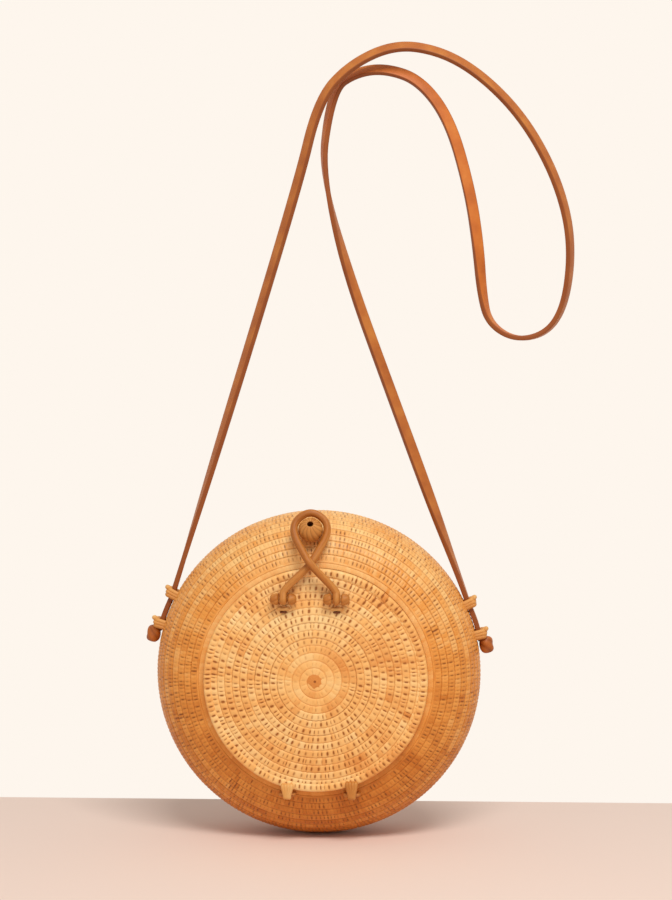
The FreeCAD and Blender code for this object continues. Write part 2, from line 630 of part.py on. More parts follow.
for foot in (loop_points[0], loop_points[-1]):
    bore = Part.makeCylinder(number("foot_pin + running_gap"), 2 * eye_half.Length, foot - eye_half,
                             eye_half)
    loop_cord = loop_cord.cut(bore)
shaped("clasp_loop", loop_cord.removeSplitter(),
       Placement(foot_place, Rotation(Vector(0, 0, 1), to_knob)))

NODES = (
    ["shoulder_strap", "back_panel", "back_edge", "front_edge", "mouth_rim", "body_lining", "knob",
     "knob_cord", "knob_stop", "lid_disc", "lid_rim", "lid_lining", "clasp_loop"]
    + [f"{piece}_{side_name}" for side_name, side in SIDES
       for piece in ("keeper_upper", "keeper_lower", "strap_tail", "strap_knot", "hinge_staple",
                     "hinge_tie", "clasp_knot", "clasp_stop")])

doc.recompute()
for item in doc.Objects:
    if {"Invalid", "Error"} & set(item.State):
        raise RuntimeError(f"{item.Name} failed: {item.State}")
os.makedirs("parts", exist_ok=True)
for name in NODES:
    shape = doc.getObject(name).Shape
    if shape.isNull() or not shape.isValid():
        raise RuntimeError(f"{name} has no valid shape")
for name in NODES:
    shape = doc.getObject(name).Shape
    shape.exportStep(f"parts/{name}.step")
    print(name, len(shape.Solids), round(shape.Volume, 1))
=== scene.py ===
import bpy
import json
import math
import numpy as np
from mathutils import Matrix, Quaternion, Vector


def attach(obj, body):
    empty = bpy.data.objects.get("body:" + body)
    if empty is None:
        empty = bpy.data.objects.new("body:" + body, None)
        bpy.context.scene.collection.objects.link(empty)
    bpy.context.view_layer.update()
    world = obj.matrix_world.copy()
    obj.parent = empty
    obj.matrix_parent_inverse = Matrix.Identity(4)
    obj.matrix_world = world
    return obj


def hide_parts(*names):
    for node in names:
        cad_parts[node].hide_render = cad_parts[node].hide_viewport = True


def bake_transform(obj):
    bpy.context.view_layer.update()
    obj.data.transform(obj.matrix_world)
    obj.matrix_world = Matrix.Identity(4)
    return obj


# Round coiled-cane shoulder bag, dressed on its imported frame. Metres, the frame's axes.

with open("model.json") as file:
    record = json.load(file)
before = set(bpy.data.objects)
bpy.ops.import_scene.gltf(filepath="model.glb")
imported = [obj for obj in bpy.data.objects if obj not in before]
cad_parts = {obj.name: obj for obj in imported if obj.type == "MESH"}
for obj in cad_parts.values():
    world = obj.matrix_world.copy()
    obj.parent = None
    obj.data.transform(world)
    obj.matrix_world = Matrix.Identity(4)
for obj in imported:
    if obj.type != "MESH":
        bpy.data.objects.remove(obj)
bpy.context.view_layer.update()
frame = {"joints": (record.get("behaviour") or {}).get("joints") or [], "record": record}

chance = np.random.default_rng(7)
FULL_TURN = 2 * math.pi

# Sizes of the frame that the dressing follows.
MOUNTS = {mount["name"]: mount["pos_m"] for mount in frame["record"]["mounts"]}
JOINTS = {joint["name"]: joint["pos_m"] for joint in frame["joints"]}
BACK_FACE = MOUNTS["back_face"]
CENTRE = np.array([BACK_FACE[0], 0, BACK_FACE[2]])
EDGE_RADIUS = BACK_FACE[1]
BODY_RADIUS = 0.1
WALL = 0.0034
FLAT_RADIUS = BODY_RADIUS - EDGE_RADIUS
WEAVE_RADIUS = EDGE_RADIUS - WALL / 2
LID_RADIUS = 0.068
LID_RIM_DEPTH = 0.004
LID_RIM_HEIGHT = 0.0044
LID_GAP = 0.0005
LID_WALL = 0.003
LID_CROWN = 0.004
LID_MIDDLE = EDGE_RADIUS + LID_GAP + LID_RIM_HEIGHT / 2
DISC_RADIUS = LID_RADIUS - LID_RIM_DEPTH
LINING_GAP = 0.0003
LINING_WALL = 0.0008
LID_LINING_RADIUS = 0.061
SEAT_GAP = 0.0003
SIDES = (("left", -1), ("right", 1))
RIGHT = np.array([1, 0, 0])


def place(across, ahead, up):
    """A place on the bag, from its centre."""
    return CENTRE + np.array([across, -ahead, up])


# Meshes

# Steps along each run of a spline, in long cords and in short canes.
CORD_STEPS = 14
CANE_STEPS = 8
# Points round a bent cane and round a lump, and rings along a lump.
CANE_SIDES = 12
LUMP_SIDES = 48
LUMP_RINGS = 25
# Roundness of wound and of twisted strands, the shade of their grooves, and the wound ones' spread of tones.
WOUND_ROUNDNESS = 0.5
TWIST_ROUNDNESS = 0.6
WOUND_SHADE = 0.35
TWIST_SHADE = 0.3
WOUND_SPREAD = 0.04
# What is left of a cane's section at its tip, and of a lump's barrel at its ends.
TIP_SHARE = 0.05
END_SHARE = 0.0004
# A direction that no lump's axis lies along.
ASKEW = (0.3, 0.2, 0.9)


def add_object(name, data):
    """A new object in the scene."""
    item = bpy.data.objects.new(name, data)
    bpy.context.scene.collection.objects.link(item)
    return item


def new_piece(name, shape, material, body, slot):
    """A closed mesh with smooth shading and named point values, riding on a body."""
    points, faces, fields = shape
    points = np.asarray(points, dtype=float)
    mesh = bpy.data.meshes.new(name)
    mesh.from_pydata(points.tolist(), [], faces)
    for field, values in fields.items():
        kind = "FLOAT_VECTOR" if np.ndim(values) == 2 else "FLOAT"
        layer = mesh.attributes.new(field, kind, "POINT")
        member = "vector" if kind == "FLOAT_VECTOR" else "value"
        layer.data.foreach_set(member, np.asarray(values, dtype=np.float32).ravel())
    mesh.polygons.foreach_set("use_smooth", np.ones(len(mesh.polygons), dtype=bool))
    mesh.update()
    mesh.materials.append(material)
    piece = add_object(name, mesh)
    if body:
        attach(piece, body)
    return piece


def lattice(rings, fields, closed=False):
    """A tube through rings of points, with flat ends unless it closes on itself, faces outwards."""
    count, around = rings.shape[:2]
    index = np.arange(count * around).reshape(count, around)
    start = index if closed else index[:-1]
    after = np.roll(index, -1, axis=0) if closed else index[1:]
    quads = np.stack([start, after, np.roll(after, -1, axis=1), np.roll(start, -1, axis=1)], axis=-1)
    quads = quads.reshape(-1, 4)
    points = rings.reshape(-1, 3)
    a, b, c, d = (points[quads[:, corner]] - points[0] for corner in range(4))
    volume = (np.einsum("ij,ij->i", a, np.cross(b, c)) + np.einsum("ij,ij->i", a, np.cross(c, d))).sum()
    faces = quads.tolist()
    if not closed:
        faces += [index[0][::-1].tolist(), index[-1].tolist()]
    if volume < 0:
        faces = [face[::-1] for face in faces]
    flat = {key: np.asarray(values).reshape(-1, 3) if key == "grain" else np.asarray(values).ravel()
            for key, values in fields.items()}
    return points, faces, flat


def joined(shapes):
    """Several meshes as one."""
    points, faces, fields = [], [], {}
    first = 0
    for spots, corners, values in shapes:
        points.append(spots)
        faces += [[first + corner for corner in face] for face in corners]
        first += len(spots)
        for key, value in values.items():
            fields.setdefault(key, []).append(value)
    return np.concatenate(points), faces, {key: np.concatenate(value) for key, value in fields.items()}


def nurbs_line(control, steps):
    """Points along the smooth spline of a route."""
    curve = bpy.data.curves.new("route", "CURVE")
    curve.dimensions = "3D"
    spline = curve.splines.new("NURBS")
    spline.points.add(len(control) - 1)
    for point, spot in zip(spline.points, control):
        point.co = (*spot, 1)
    spline.order_u = 3
    spline.use_endpoint_u = True
    spline.resolution_u = steps
    holder = bpy.data.objects.new("route", curve)
    mesh = bpy.data.meshes.new_from_object(holder)
    line = np.array([vertex.co[:] for vertex in mesh.vertices])
    bpy.data.objects.remove(holder)
    bpy.data.curves.remove(curve)
    bpy.data.meshes.remove(mesh)
    return line


def directions(line):
    """Unit directions along a line of points."""
    steps = np.gradient(line, axis=0)
    return steps / np.linalg.norm(steps, axis=1, keepdims=True)


def lengths(line):
    """Distance of each point along a line."""
    return np.concatenate([[0], np.cumsum(np.linalg.norm(np.diff(line, axis=0), axis=1))])


def frames(along, first):
    """Two directions square to a line, carried along it without twist."""
    side = np.array(first, dtype=float)
    sides = []
    for direction in along:
        side = side - direction * np.dot(side, direction)
        side = side / np.linalg.norm(side)
        sides.append(side)
    sides = np.array(sides)
    return sides, np.cross(along, sides)


def strand_look(wind, strands, tone, spread, roundness):
    """Depth of the grooves between strands, and each strand's tone, from the angle of winding."""
    groove = 1 - (0.5 + 0.5 * np.cos(wind)) ** roundness
    strand = np.floor(wind / FULL_TURN + 0.5).astype(int) % strands
    return groove, tone + chance.normal(0, spread, strands)[strand]


def cane(line, radius, first, around, tone, twist=None, ends=None):
    """A round cane along a line of points, its tips rounded over the length of the ends.

    A twist makes it a cord: the number of strands, their lay, their grooves' depth and their spread of tones.
    """
    line = np.asarray(line)
    along = directions(line)
    side, up = frames(along, first)
    run = lengths(line)
    angle = np.linspace(0, FULL_TURN, around, endpoint=False)
    swell = np.ones((len(line), around))
    groove, tones = 0 * swell, tone * swell
    if twist:
        strands, lay, depth, spread = twist
        wind = strands * (angle[None, :] - FULL_TURN * run[:, None] / (lay * strands))
        groove, tones = strand_look(wind, strands, tone, spread, TWIST_ROUNDNESS)
        swell = 1 - depth * groove
    reach = np.full(len(line), float(radius))
    if ends:
        left = np.clip(np.minimum(run, run[-1] - run) / ends, 0, 1)
        reach = reach * np.sqrt(np.clip(1 - (1 - left) ** 2, TIP_SHARE, 1))
    out = side[:, None, :] * np.cos(angle)[None, :, None] + up[:, None, :] * np.sin(angle)[None, :, None]
    rings = line[:, None, :] + out * (reach[:, None] * swell)[:, :, None]
    grain = np.stack(np.broadcast_arrays(angle[None, :] * radius, run[:, None], 0), axis=-1)
    return lattice(rings, {"tone": tones, "cavity": TWIST_SHADE * groove, "grain": grain})


def lump(centre, axis, half_length, radius, windings, depth, lay=2.0, taper=0.0, fullness=2.6, tone=0.45):
    """A barrel of wound strands about an axis, narrower at its far end by the taper."""
    axis = np.asarray(axis) / np.linalg.norm(axis)
    side = np.cross(axis, ASKEW)
    side /= np.linalg.norm(side)
    front = np.cross(axis, side)
    share = np.sin(np.linspace(-math.pi / 2, math.pi / 2, LUMP_RINGS))[:, None]
    angle = np.linspace(0, FULL_TURN, LUMP_SIDES, endpoint=False)[None, :]
    wind = windings * angle + lay * math.pi * share
    groove, tones = strand_look(wind, windings, tone, WOUND_SPREAD, WOUND_ROUNDNESS)
    barrel = np.clip(1 - np.abs(share) ** fullness, END_SHARE, 1) ** (1 / fullness)
    reach = radius * barrel * (1 - taper * (share + 1) / 2) * (1 - depth * groove)
    out = np.cos(angle)[..., None] * side + np.sin(angle)[..., None] * front
    rings = np.asarray(centre) + (half_length * share)[..., None] * axis + reach[..., None] * out
    grain = np.stack(np.broadcast_arrays(radius * angle, half_length * share, 0), axis=-1)
    return lattice(rings, {"tone": tones, "cavity": WOUND_SHADE * groove, "grain": grain})


# Materials

# Scale of cane's fibres, on woven pieces (across, along, by row) and on the frame's own solids.
FIBRE_SCALE = (4200, 420, 900)
FRAME_FIBRE_SCALE = (600, 2200, 1500)
FIBRE_STREAK = 0.3
# Between these values of cavity, cane goes from its own colour to the groove colour: painted shade in grooves
# and holes, and the darker gaps of stained stitches.
CAVITY_RANGE = {"From Min": 0.1, "From Max": 0.9}
# Strength and depth of the finest relief.
CANE_RELIEF = (0.25, 0.0002)
LEATHER_RELIEF = (0.3, 0.00015)
COTTON_RELIEF = (0.3, 0.0002)


def rgb(red, green, blue):
    """A colour from its values on a screen."""
    def linear(value):
        value /= 255
        return value / 12.92 if value <= 0.04045 else ((value + 0.055) / 1.055) ** 2.4
    return (linear(red), linear(green), linear(blue), 1)


def new_material(name):
    """A material with its tree and its shader."""
    material = bpy.data.materials.new(name)
    material.use_nodes = True
    tree = material.node_tree
    return material, tree, tree.nodes["Principled BSDF"]


def set_inputs(item, values):
    """Constant values on a node's own sockets."""
    for key, value in values.items():
        item.inputs[key].default_value = value


def link(source, target):
    """A link between two sockets of one tree."""
    source.id_data.links.new(source, target)


def node(tree, kind, inputs=None, **settings):
    """A new node with its constant inputs and its settings."""
    item = tree.nodes.new(kind)
    for key, value in settings.items():
        setattr(item, key, value)
    set_inputs(item, inputs or {})
    return item


def ramp(tree, source, stops):
    """Colours from a value, by stops of a place and a screen colour."""
    item = node(tree, "ShaderNodeValToRGB")
    marks = item.color_ramp.elements
    while len(marks) < len(stops):
        marks.new(0.5)
    for mark, (spot, shade) in zip(marks, stops):
        mark.position = spot
        mark.color = rgb(*shade)
    link(source, item.inputs["Fac"])
    return item.outputs["Color"]


def mixed(tree, share, first, second):
    """Two colours mixed by a share, each of them a socket or a constant."""
    item = node(tree, "ShaderNodeMix", data_type="RGBA")
    for key, value in (("Factor", share), ("A", first), ("B", second)):
        socket = next(entry for entry in item.inputs if entry.name == key and entry.enabled)
        if hasattr(value, "is_linked"):
            link(value, socket)
        else:
            socket.default_value = value
    return next(entry for entry in item.outputs if entry.enabled)


def bump(tree, shader, height, strength, distance):
    """Fine relief on a shader."""
    relief = node(tree, "ShaderNodeBump", {"Strength": strength, "Distance": distance})
    link(height, relief.inputs["Height"])
    link(relief.outputs["Normal"], shader.inputs["Normal"])


def cane_material(name, stops, groove=None, roughness=0.5):
    """Cane: a tone for each stitch, streaks along its fibres, and painted shade in the holes and grooves
    between the stitches.

    With no groove it is plain cane for the frame's own solids, which carry no tones.
    """
    material, tree, shader = new_material(name)
    stretch = node(tree, "ShaderNodeMapping", {"Scale": FIBRE_SCALE if groove else FRAME_FIBRE_SCALE})
    fibres = node(tree, "ShaderNodeTexNoise", {"Scale": 1, "Detail": 3})
    link(stretch.outputs["Vector"], fibres.inputs["Vector"])
    if groove:
        tone, cavity, grain = (node(tree, "ShaderNodeAttribute", attribute_name=field)
                               for field in ("tone", "cavity", "grain"))
        link(grain.outputs["Vector"], stretch.inputs["Vector"])
        offset = node(tree, "ShaderNodeMath", {1: FIBRE_STREAK / 2}, operation="SUBTRACT")
        link(tone.outputs["Fac"], offset.inputs[0])
        shade = node(tree, "ShaderNodeMath", {1: FIBRE_STREAK}, operation="MULTIPLY_ADD")
        link(fibres.outputs["Fac"], shade.inputs[0])
        link(offset.outputs["Value"], shade.inputs[2])
        depth = node(tree, "ShaderNodeMapRange", CAVITY_RANGE, interpolation_type="SMOOTHSTEP")
        link(cavity.outputs["Fac"], depth.inputs["Value"])
        base = mixed(tree, depth.outputs["Result"], ramp(tree, shade.outputs["Value"], stops), groove)
    else:
        spot = node(tree, "ShaderNodeTexCoord")
        link(spot.outputs["Object"], stretch.inputs["Vector"])
        base = ramp(tree, fibres.outputs["Fac"], stops)
    link(base, shader.inputs["Base Color"])
    set_inputs(shader, {"Roughness": roughness, "Specular IOR Level": 0.32})
    bump(tree, shader, fibres.outputs["Fac"], *CANE_RELIEF)
    return material


def leather_material():
    """Vegetable-tanned leather: a brown grain side, an orange flesh side, uneven dye and dark cut edges."""
    material, tree, shader = new_material("strap_leather")
    spot = node(tree, "ShaderNodeTexCoord")
    cut = node(tree, "ShaderNodeAttribute", attribute_name="edge")
    flesh = node(tree, "ShaderNodeAttribute", attribute_name="flesh")
    dye = node(tree, "ShaderNodeTexNoise", {"Scale": 90, "Detail": 5})
    pores = node(tree, "ShaderNodeTexVoronoi", {"Scale": 1900}, feature="DISTANCE_TO_EDGE")
    for item in (dye, pores):
        link(spot.outputs["Object"], item.inputs["Vector"])
    brown = ramp(tree, dye.outputs["Fac"], (
        (0.2, (158, 80, 22)), (0.5, (180, 100, 34)), (0.8, (198, 122, 48))))
    orange = ramp(tree, dye.outputs["Fac"], (
        (0.2, (172, 86, 20)), (0.5, (198, 106, 32)), (0.8, (216, 130, 50))))
    sides = mixed(tree, flesh.outputs["Fac"], brown, orange)
    link(mixed(tree, cut.outputs["Fac"], sides, rgb(128, 62, 20)), shader.inputs["Base Color"])
    set_inputs(shader, {"Roughness": 0.5, "Specular IOR Level": 0.4})
    bump(tree, shader, pores.outputs["Distance"], *LEATHER_RELIEF)
    return material


def cloth_material():
    """Plain-woven cotton."""
    material, tree, shader = new_material("lining_cotton")
    spot = node(tree, "ShaderNodeTexCoord")
    weave = node(tree, "ShaderNodeMath", operation="MULTIPLY")
    for thread, axis in enumerate(("X", "Z")):
        wave = node(tree, "ShaderNodeTexWave", {"Scale": 320, "Distortion": 0.6}, wave_type="BANDS",
                    bands_direction=axis)
        link(spot.outputs["Object"], wave.inputs["Vector"])
        link(wave.outputs["Fac"], weave.inputs[thread])
    base = ramp(tree, weave.outputs["Value"], ((0.0, (176, 152, 120)), (0.8, (214, 194, 162))))
    link(base, shader.inputs["Base Color"])
    set_inputs(shader, {"Roughness": 0.9})
    bump(tree, shader, weave.outputs["Value"], *COTTON_RELIEF)
    return material


# The last colour of each woven cane is for its grooves and holes: painted shade.
LID_CANE = cane_material("lid_cane", (
    (0.0, (166, 86, 28)), (0.35, (226, 145, 68)),
    (0.6, (248, 186, 108)), (1.0, (255, 222, 158))), rgb(158, 86, 24))
BODY_CANE = cane_material("body_cane", (
    (0.0, (140, 66, 14)), (0.35, (202, 116, 36)),
    (0.6, (234, 156, 70)), (1.0, (254, 212, 142))), rgb(132, 68, 14), roughness=0.42)
CORD_CANE = cane_material("cord_cane", (
    (0.0, (112, 56, 14)), (0.35, (180, 106, 38)),
    (0.7, (218, 152, 76)), (1.0, (244, 198, 128))), rgb(96, 46, 10))
PLAIN_CANE = cane_material("plain_cane", (
    (0.2, (140, 76, 28)), (0.5, (186, 116, 52)), (0.8, (216, 152, 84))))
LEATHER = leather_material()
COTTON = cloth_material()


# Weave

ROW = 0.00455
LID_STITCH = 0.0032
BODY_STITCH = 0.0024
EDGE_ROWS = 12
ROW_TURN = math.pi / 2 / EDGE_ROWS
# Half the width of a row as a share of its step, so that rows overlap, and where a coil's first row starts.
HALF_ROW_SHARE = 0.58
FIRST_ROW_SHARE = 0.55
# Steps for each turn of a coil, to measure its length.
COIL_STEPS = 720
# Depth of the gaps where a coil is plain, as a share of the depth elsewhere.
PLAIN_SHARE = 0.4
# Wavelengths along a coil over which its stitches crowd and spread, and by what share of a stitch.
UNEVEN_WAVES = (0.013, 0.031, 0.077)
UNEVEN_SHARE = 0.22
# The same round a closed row: waves a turn, and how far the row's tilt shifts each.
UNEVEN_TURNS = ((7, 1), (23, 40))
# Section of a row: shares of its half width over the top, then back below it, with the heights there.
TOP_SHARES = np.array([1, 0.86, 0.7, 0.5, 0.25, 0, -0.25, -0.5, -0.7, -0.86, -1])
ROW_SHARES = np.concatenate([TOP_SHARES, [-0.7, 0, 0.7]])
UNDER_HEIGHTS = [-0.8, -1, -0.8]
# Shares of a row's half width over which a gap's hole closes, and the line between rows darkens.
HOLE_SHARES = (0.2, 0.65)
LINE_SHARES = (0.5, 0.85)
# Shares of a stain's radius over which it fades, the chance that a stitch in it is dark, how dark it is,
# and what that takes from its tone and adds to its gaps.
STAIN_SHARES = (0.5, 1)
STAIN_CHANCE = 0.6
STAIN_DEPTHS = (0.5, 1)
STAIN_TONE = 0.14
STAIN_GAP = 0.6
# Step of the fibres' pattern from row to row.
GRAIN_STEP = 0.01

# Looks of the weave. columns: steps along a stitch. fullness: how square a row's section is. slant: lean of
# the stitches. slot, rib, pit: width of the gaps, and depth at a row's sides and middle. tone: the mean,
# changed by stitch (spread), row (row_spread), place (patch) and height (fade, painted light
# that makes the top lighter). hole, seam: painted shade of a gap's middle and length. line, lines: painted
# shade between rows, and rows that differ. open: least and most that a gap opens. stains: degrees, reach
# from the centre and radius.
LID_LOOK = {
    "columns": 6, "fullness": 3.2, "slant": 0.06, "slot": 0.19, "rib": 0.24, "pit": 0.42,
    "tone": 0.66, "spread": 0.05, "row_spread": 0.05, "patch": 0.32, "fade": 0.0,
    "hole": 0.82, "seam": 0.26, "line": 0.34, "lines": {4: 0.6, 6: 0.58, 9: 0.45}, "open": (0.55, 1),
    "stains": ((176, 0.063, 0.008), (169, 0.064, 0.007), (64, 0.062, 0.010), (52, 0.064, 0.010),
               (43, 0.066, 0.007), (205, 0.060, 0.007), (-20, 0.061, 0.004))}
BODY_LOOK = {
    "columns": 4, "fullness": 3.4, "slant": 0.08, "slot": 0.24, "rib": 0.18, "pit": 0.3,
    "tone": 0.6, "spread": 0.035, "row_spread": 0.06, "patch": 0.14, "fade": 0.2,
    "hole": 0.5, "seam": 0.36, "line": 0.3, "lines": {}, "open": (0.35, 1),
    "stains": ((23, 0.076, 0.005), (45, 0.076, 0.004), (173, 0.075, 0.006), (140, 0.076, 0.007),
               (122, 0.084, 0.005), (-8, 0.09, 0.004), (196, 0.09, 0.005), (78, 0.082, 0.005),
               (232, 0.083, 0.006), (-48, 0.084, 0.005))}

# Slow waves whose sum shades the cane unevenly over the whole bag.
PATCH_COUNT = 9
PATCH_WAVELENGTH = 0.05
PATCH_SCALE = 2.8
PATCH_WAVES = [(chance.normal(size=3) * FULL_TURN / PATCH_WAVELENGTH, chance.uniform(0, FULL_TURN))
               for wave in range(PATCH_COUNT)]


def patches(spots):
    """Slow uneven shading over a surface, about -0.5 to 0.5."""
    total = sum(np.sin(spots @ push + lag) for push, lag in PATCH_WAVES)
    return total / (PATCH_SCALE * math.sqrt(PATCH_COUNT))


def body_back(run):
    """The middle of the body's flat back, from its centre to the round edge."""
    return run, 0 * run - WEAVE_RADIUS, 1 + 0 * run, 0 * run


def lid_profile(run):
    """The middle of the lid's wall, from its centre to its bound edge."""
    ahead = LID_MIDDLE + LID_CROWN * (1 - (run / DISC_RADIUS) ** 2)
    slope = -2 * LID_CROWN * run / DISC_RADIUS ** 2
    size = np.sqrt(1 + slope ** 2)
    return run, ahead, 1 / size, slope / size


def row_heights(fullness):
    """Height of a row's section at each share of its width."""
    return np.concatenate([(1 - np.abs(TOP_SHARES) ** fullness) ** (1 / fullness), UNDER_HEIGHTS])


def smooth(low, high, value):
    """0 below the low mark, 1 above the high one, and an even rise between them."""
    share = np.clip((value - low) / (high - low), 0, 1)
    return share * share * (3 - 2 * share)


def stained_share(stains, spots):
    """How far each spot on the bag's front lies in a stain, 0 to 1."""
    stained = np.zeros(len(spots))
    for degrees, reach, size in stains:
        centre = math.radians(degrees)
        away = np.hypot(spots[:, 0] - CENTRE[0] - reach * math.cos(centre),
                        spots[:, 2] - CENTRE[2] - reach * math.sin(centre))
        stained = np.maximum(stained, (1 - smooth(*STAIN_SHARES, away / size)) * (spots[:, 1] < 0))
    return stained[:, None]


def stitched(look, angle, radius, ahead, across, over, half_width, half_thick, strength, closed=False):
    """Points and tones of a row of stitches laid along a path round the bag's level axis."""
    count, columns = len(angle), look["columns"]
    x, heights = ROW_SHARES[None, :], row_heights(look["fullness"])[None, :]
    phase = np.arange(count)[:, None] / columns + look["slant"] * x
    gap = np.round(phase).astype(int)
    gap = gap % (count // columns) if closed else gap - gap.min()
    open_share = chance.uniform(*look["open"], gap.max() + 1)[gap]
    slot = np.exp(-((phase - np.round(phase)) / look["slot"]) ** 2) * strength[:, None] * open_share
    window = 1 - smooth(*HOLE_SHARES, np.abs(x))
    sink = 1 - slot * (look["rib"] + (look["pit"] - look["rib"]) * window)
    width = half_width * x
    height = half_thick * np.where(heights > 0, heights * sink, heights)
    r = radius[:, None] + across[:, :1] * width + over[:, :1] * height
    f = ahead[:, None] + across[:, 1:] * width + over[:, 1:] * height
    turn = angle[:, None]
    points = CENTRE + np.stack([r * np.cos(turn), -f, r * np.sin(turn)], axis=-1)
    spots = points[:, len(TOP_SHARES) // 2, :]
    number = np.floor(phase).astype(int)
    number = number % (count // columns) if closed else number - number.min()
    total = number.max() + 1
    row = ((angle - angle.min()) / FULL_TURN).astype(int)
    rows = row.max() + 1
    # The height term is painted light: the tone rises towards the top of the bag, as if lit from above.
    shade = look["patch"] * patches(spots) + look["fade"] * (spots[:, 2] - CENTRE[2]) / BODY_RADIUS
    tone = (look["tone"] + chance.normal(0, look["spread"], total)[number]
            + chance.normal(0, look["row_spread"], rows)[row][:, None] + shade[:, None])
    is_dark = chance.random(total)[number] < STAIN_CHANCE * stained_share(look["stains"], spots)
    dark = is_dark * chance.uniform(*STAIN_DEPTHS, total)[number]
    line = np.array([look["lines"].get(index, look["line"]) for index in range(rows)])[row][:, None]
    cavity = (slot * (look["hole"] * window + look["seam"]) + line * smooth(*LINE_SHARES, x)
              + STAIN_GAP * dark * slot)
    run = np.concatenate([[0], np.cumsum(np.abs(np.diff(angle)) * radius[1:])])
    grain = np.stack(np.broadcast_arrays(run[:, None], width, row[:, None] * GRAIN_STEP), axis=-1)
    return points, {"tone": tone - STAIN_TONE * dark, "cavity": np.clip(cavity, 0, 1), "grain": grain}


def coil(look, stitch, profile, finish, half_thick, outwards, first_turn=0.0, plain_within=0.0):
    """One row of stitched cane, wound in a spiral over a turned surface."""
    start = ROW * FIRST_ROW_SHARE
    turns = (finish - start) / ROW
    angle = np.linspace(0, FULL_TURN * turns, int(turns * COIL_STEPS))
    radius = profile(start + ROW * angle / FULL_TURN)[0]
    steps = np.hypot(ROW * np.diff(angle) / FULL_TURN, np.diff(angle) * (radius[1:] + radius[:-1]) / 2)
    length = np.concatenate([[0], np.cumsum(steps)])
    count = int(length[-1] / stitch) * look["columns"] + 1
    along = np.linspace(0, length[-1], count)
    uneven = sum(np.sin(FULL_TURN * along / wave) for wave in UNEVEN_WAVES)
    angle = np.interp(along + UNEVEN_SHARE * stitch * uneven, length, angle)
    run = start + ROW * angle / FULL_TURN
    radius, ahead, across_r, across_f = profile(run)
    across = np.stack([across_r, across_f], axis=-1)
    over = np.stack((across_f, -across_r) if outwards else (-across_f, across_r), axis=-1)
    strength = PLAIN_SHARE + (1 - PLAIN_SHARE) * smooth(plain_within, 2 * plain_within + ROW, run)
    return lattice(*stitched(
        look, angle + first_turn, radius, ahead, across, over, ROW * HALF_ROW_SHARE, half_thick, strength))


def hoop(look, stitch, radius, ahead, tilt, half_width, half_thick, strength=1.0):
    """A closed ring of stitched cane, its top tilted from the rim's direction to the front's."""
    count = round(FULL_TURN * radius / stitch) * look["columns"]
    angle = np.arange(count) * FULL_TURN / count
    uneven = sum(np.sin(turns * angle + shift * tilt) for turns, shift in UNEVEN_TURNS)
    angle = angle + UNEVEN_SHARE * stitch / radius * uneven
    ones = np.ones((count, 1))
    over = ones * [math.cos(tilt), math.sin(tilt)]
    across = ones * [-math.sin(tilt), math.cos(tilt)]
    return lattice(*stitched(
        look, angle, radius * ones[:, 0], ahead * ones[:, 0], across, over, half_width, half_thick,
        strength * ones[:, 0], closed=True), closed=True)


def edge_row(number, look=BODY_LOOK, strength=1.0):
    """A row of the round edge, counted from the rim to the front, or below 0 to the back."""
    tilt = number * ROW_TURN
    return hoop(
        look, BODY_STITCH, FLAT_RADIUS + WEAVE_RADIUS * math.cos(tilt), WEAVE_RADIUS * math.sin(tilt), tilt,
        WEAVE_RADIUS * ROW_TURN * HALF_ROW_SHARE, WALL / 2, strength)


def turned(outline, segments=128, tone=0.5):
    """A closed ring or dish about the bag's level axis, from an outline of radius and ahead."""
    angle = np.arange(segments)[:, None] * FULL_TURN / segments
    outline = np.asarray(outline)
    r, f = outline[None, :, 0] + 0 * angle, outline[None, :, 1] + 0 * angle
    rings = CENTRE + np.stack([r * np.cos(angle), -f, r * np.sin(angle)], axis=-1)
    return lattice(rings, {"tone": 0 * r + tone, "cavity": 0 * r, "grain": rings - CENTRE}, closed=True)


# Start of a coil: steps of its outline, drop of its dome, number, twist, sharpness and shade of its fan of
# stitches, and the shares of its radius where the fan begins and the dark middle ends.
BUTTON_STEPS = np.linspace(0.02, 1, 13)
BUTTON_SIDES = 48
BUTTON_DROP = 0.9
FAN_STITCHES = 12
FAN_TWIST = 3
FAN_SHARPNESS = 3
FAN_SHADE = 0.25
FAN_SHARES = (0.3, 0.7)
MIDDLE_SHARES = (0.06, 0.2)


def button(ahead, facing, radius, rise, tone):
    """A low domed start of a coil, with a fan of stitches round a dark middle, on the bag's level axis."""
    dome = [(radius * step, ahead + facing * rise * math.sqrt(1 - BUTTON_DROP * step ** 2))
            for step in BUTTON_STEPS]
    under = [(radius * step, ahead - facing * rise) for step in BUTTON_STEPS[::-1]]
    points, faces, fields = turned(dome + under, BUTTON_SIDES, tone)
    across, up = points[:, 0] - CENTRE[0], points[:, 2] - CENTRE[2]
    reach = np.hypot(up, across) / radius
    fan = (0.5 + 0.5 * np.cos(FAN_STITCHES * np.arctan2(up, across) + FAN_TWIST * reach)) ** FAN_SHARPNESS
    fan = FAN_SHADE * fan * smooth(*FAN_SHARES, reach)
    fields["cavity"] = np.maximum(fan, 1 - smooth(*MIDDLE_SHARES, reach))
    return points, faces, fields


# Body

ON_BODY = (BODY_CANE, "bag", "cane_body")
back = new_piece("back_weave", coil(BODY_LOOK, BODY_STITCH, body_back, FLAT_RADIUS, WALL / 2, True), *ON_BODY)
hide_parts("back_panel")
edge = new_piece("edge_weave", joined([edge_row(-number) for number in range(EDGE_ROWS + 1)]), *ON_BODY)
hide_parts("back_edge")
# The last row before the mouth is nearly smooth, and painted dark along its edge as shade in the gap behind
# the lid's edge.
MOUTH_LOOK = {**BODY_LOOK, "tone": BODY_LOOK["tone"] + 0.05, "line": 1.0}
MOUTH_STRENGTH = 0.3
shoulder_rows = [edge_row(number) for number in range(1, EDGE_ROWS - 1)]
shoulder_rows.append(edge_row(EDGE_ROWS - 1, MOUTH_LOOK, MOUTH_STRENGTH))
shoulder = new_piece("shoulder_weave", joined(shoulder_rows), *ON_BODY)
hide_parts("front_edge")
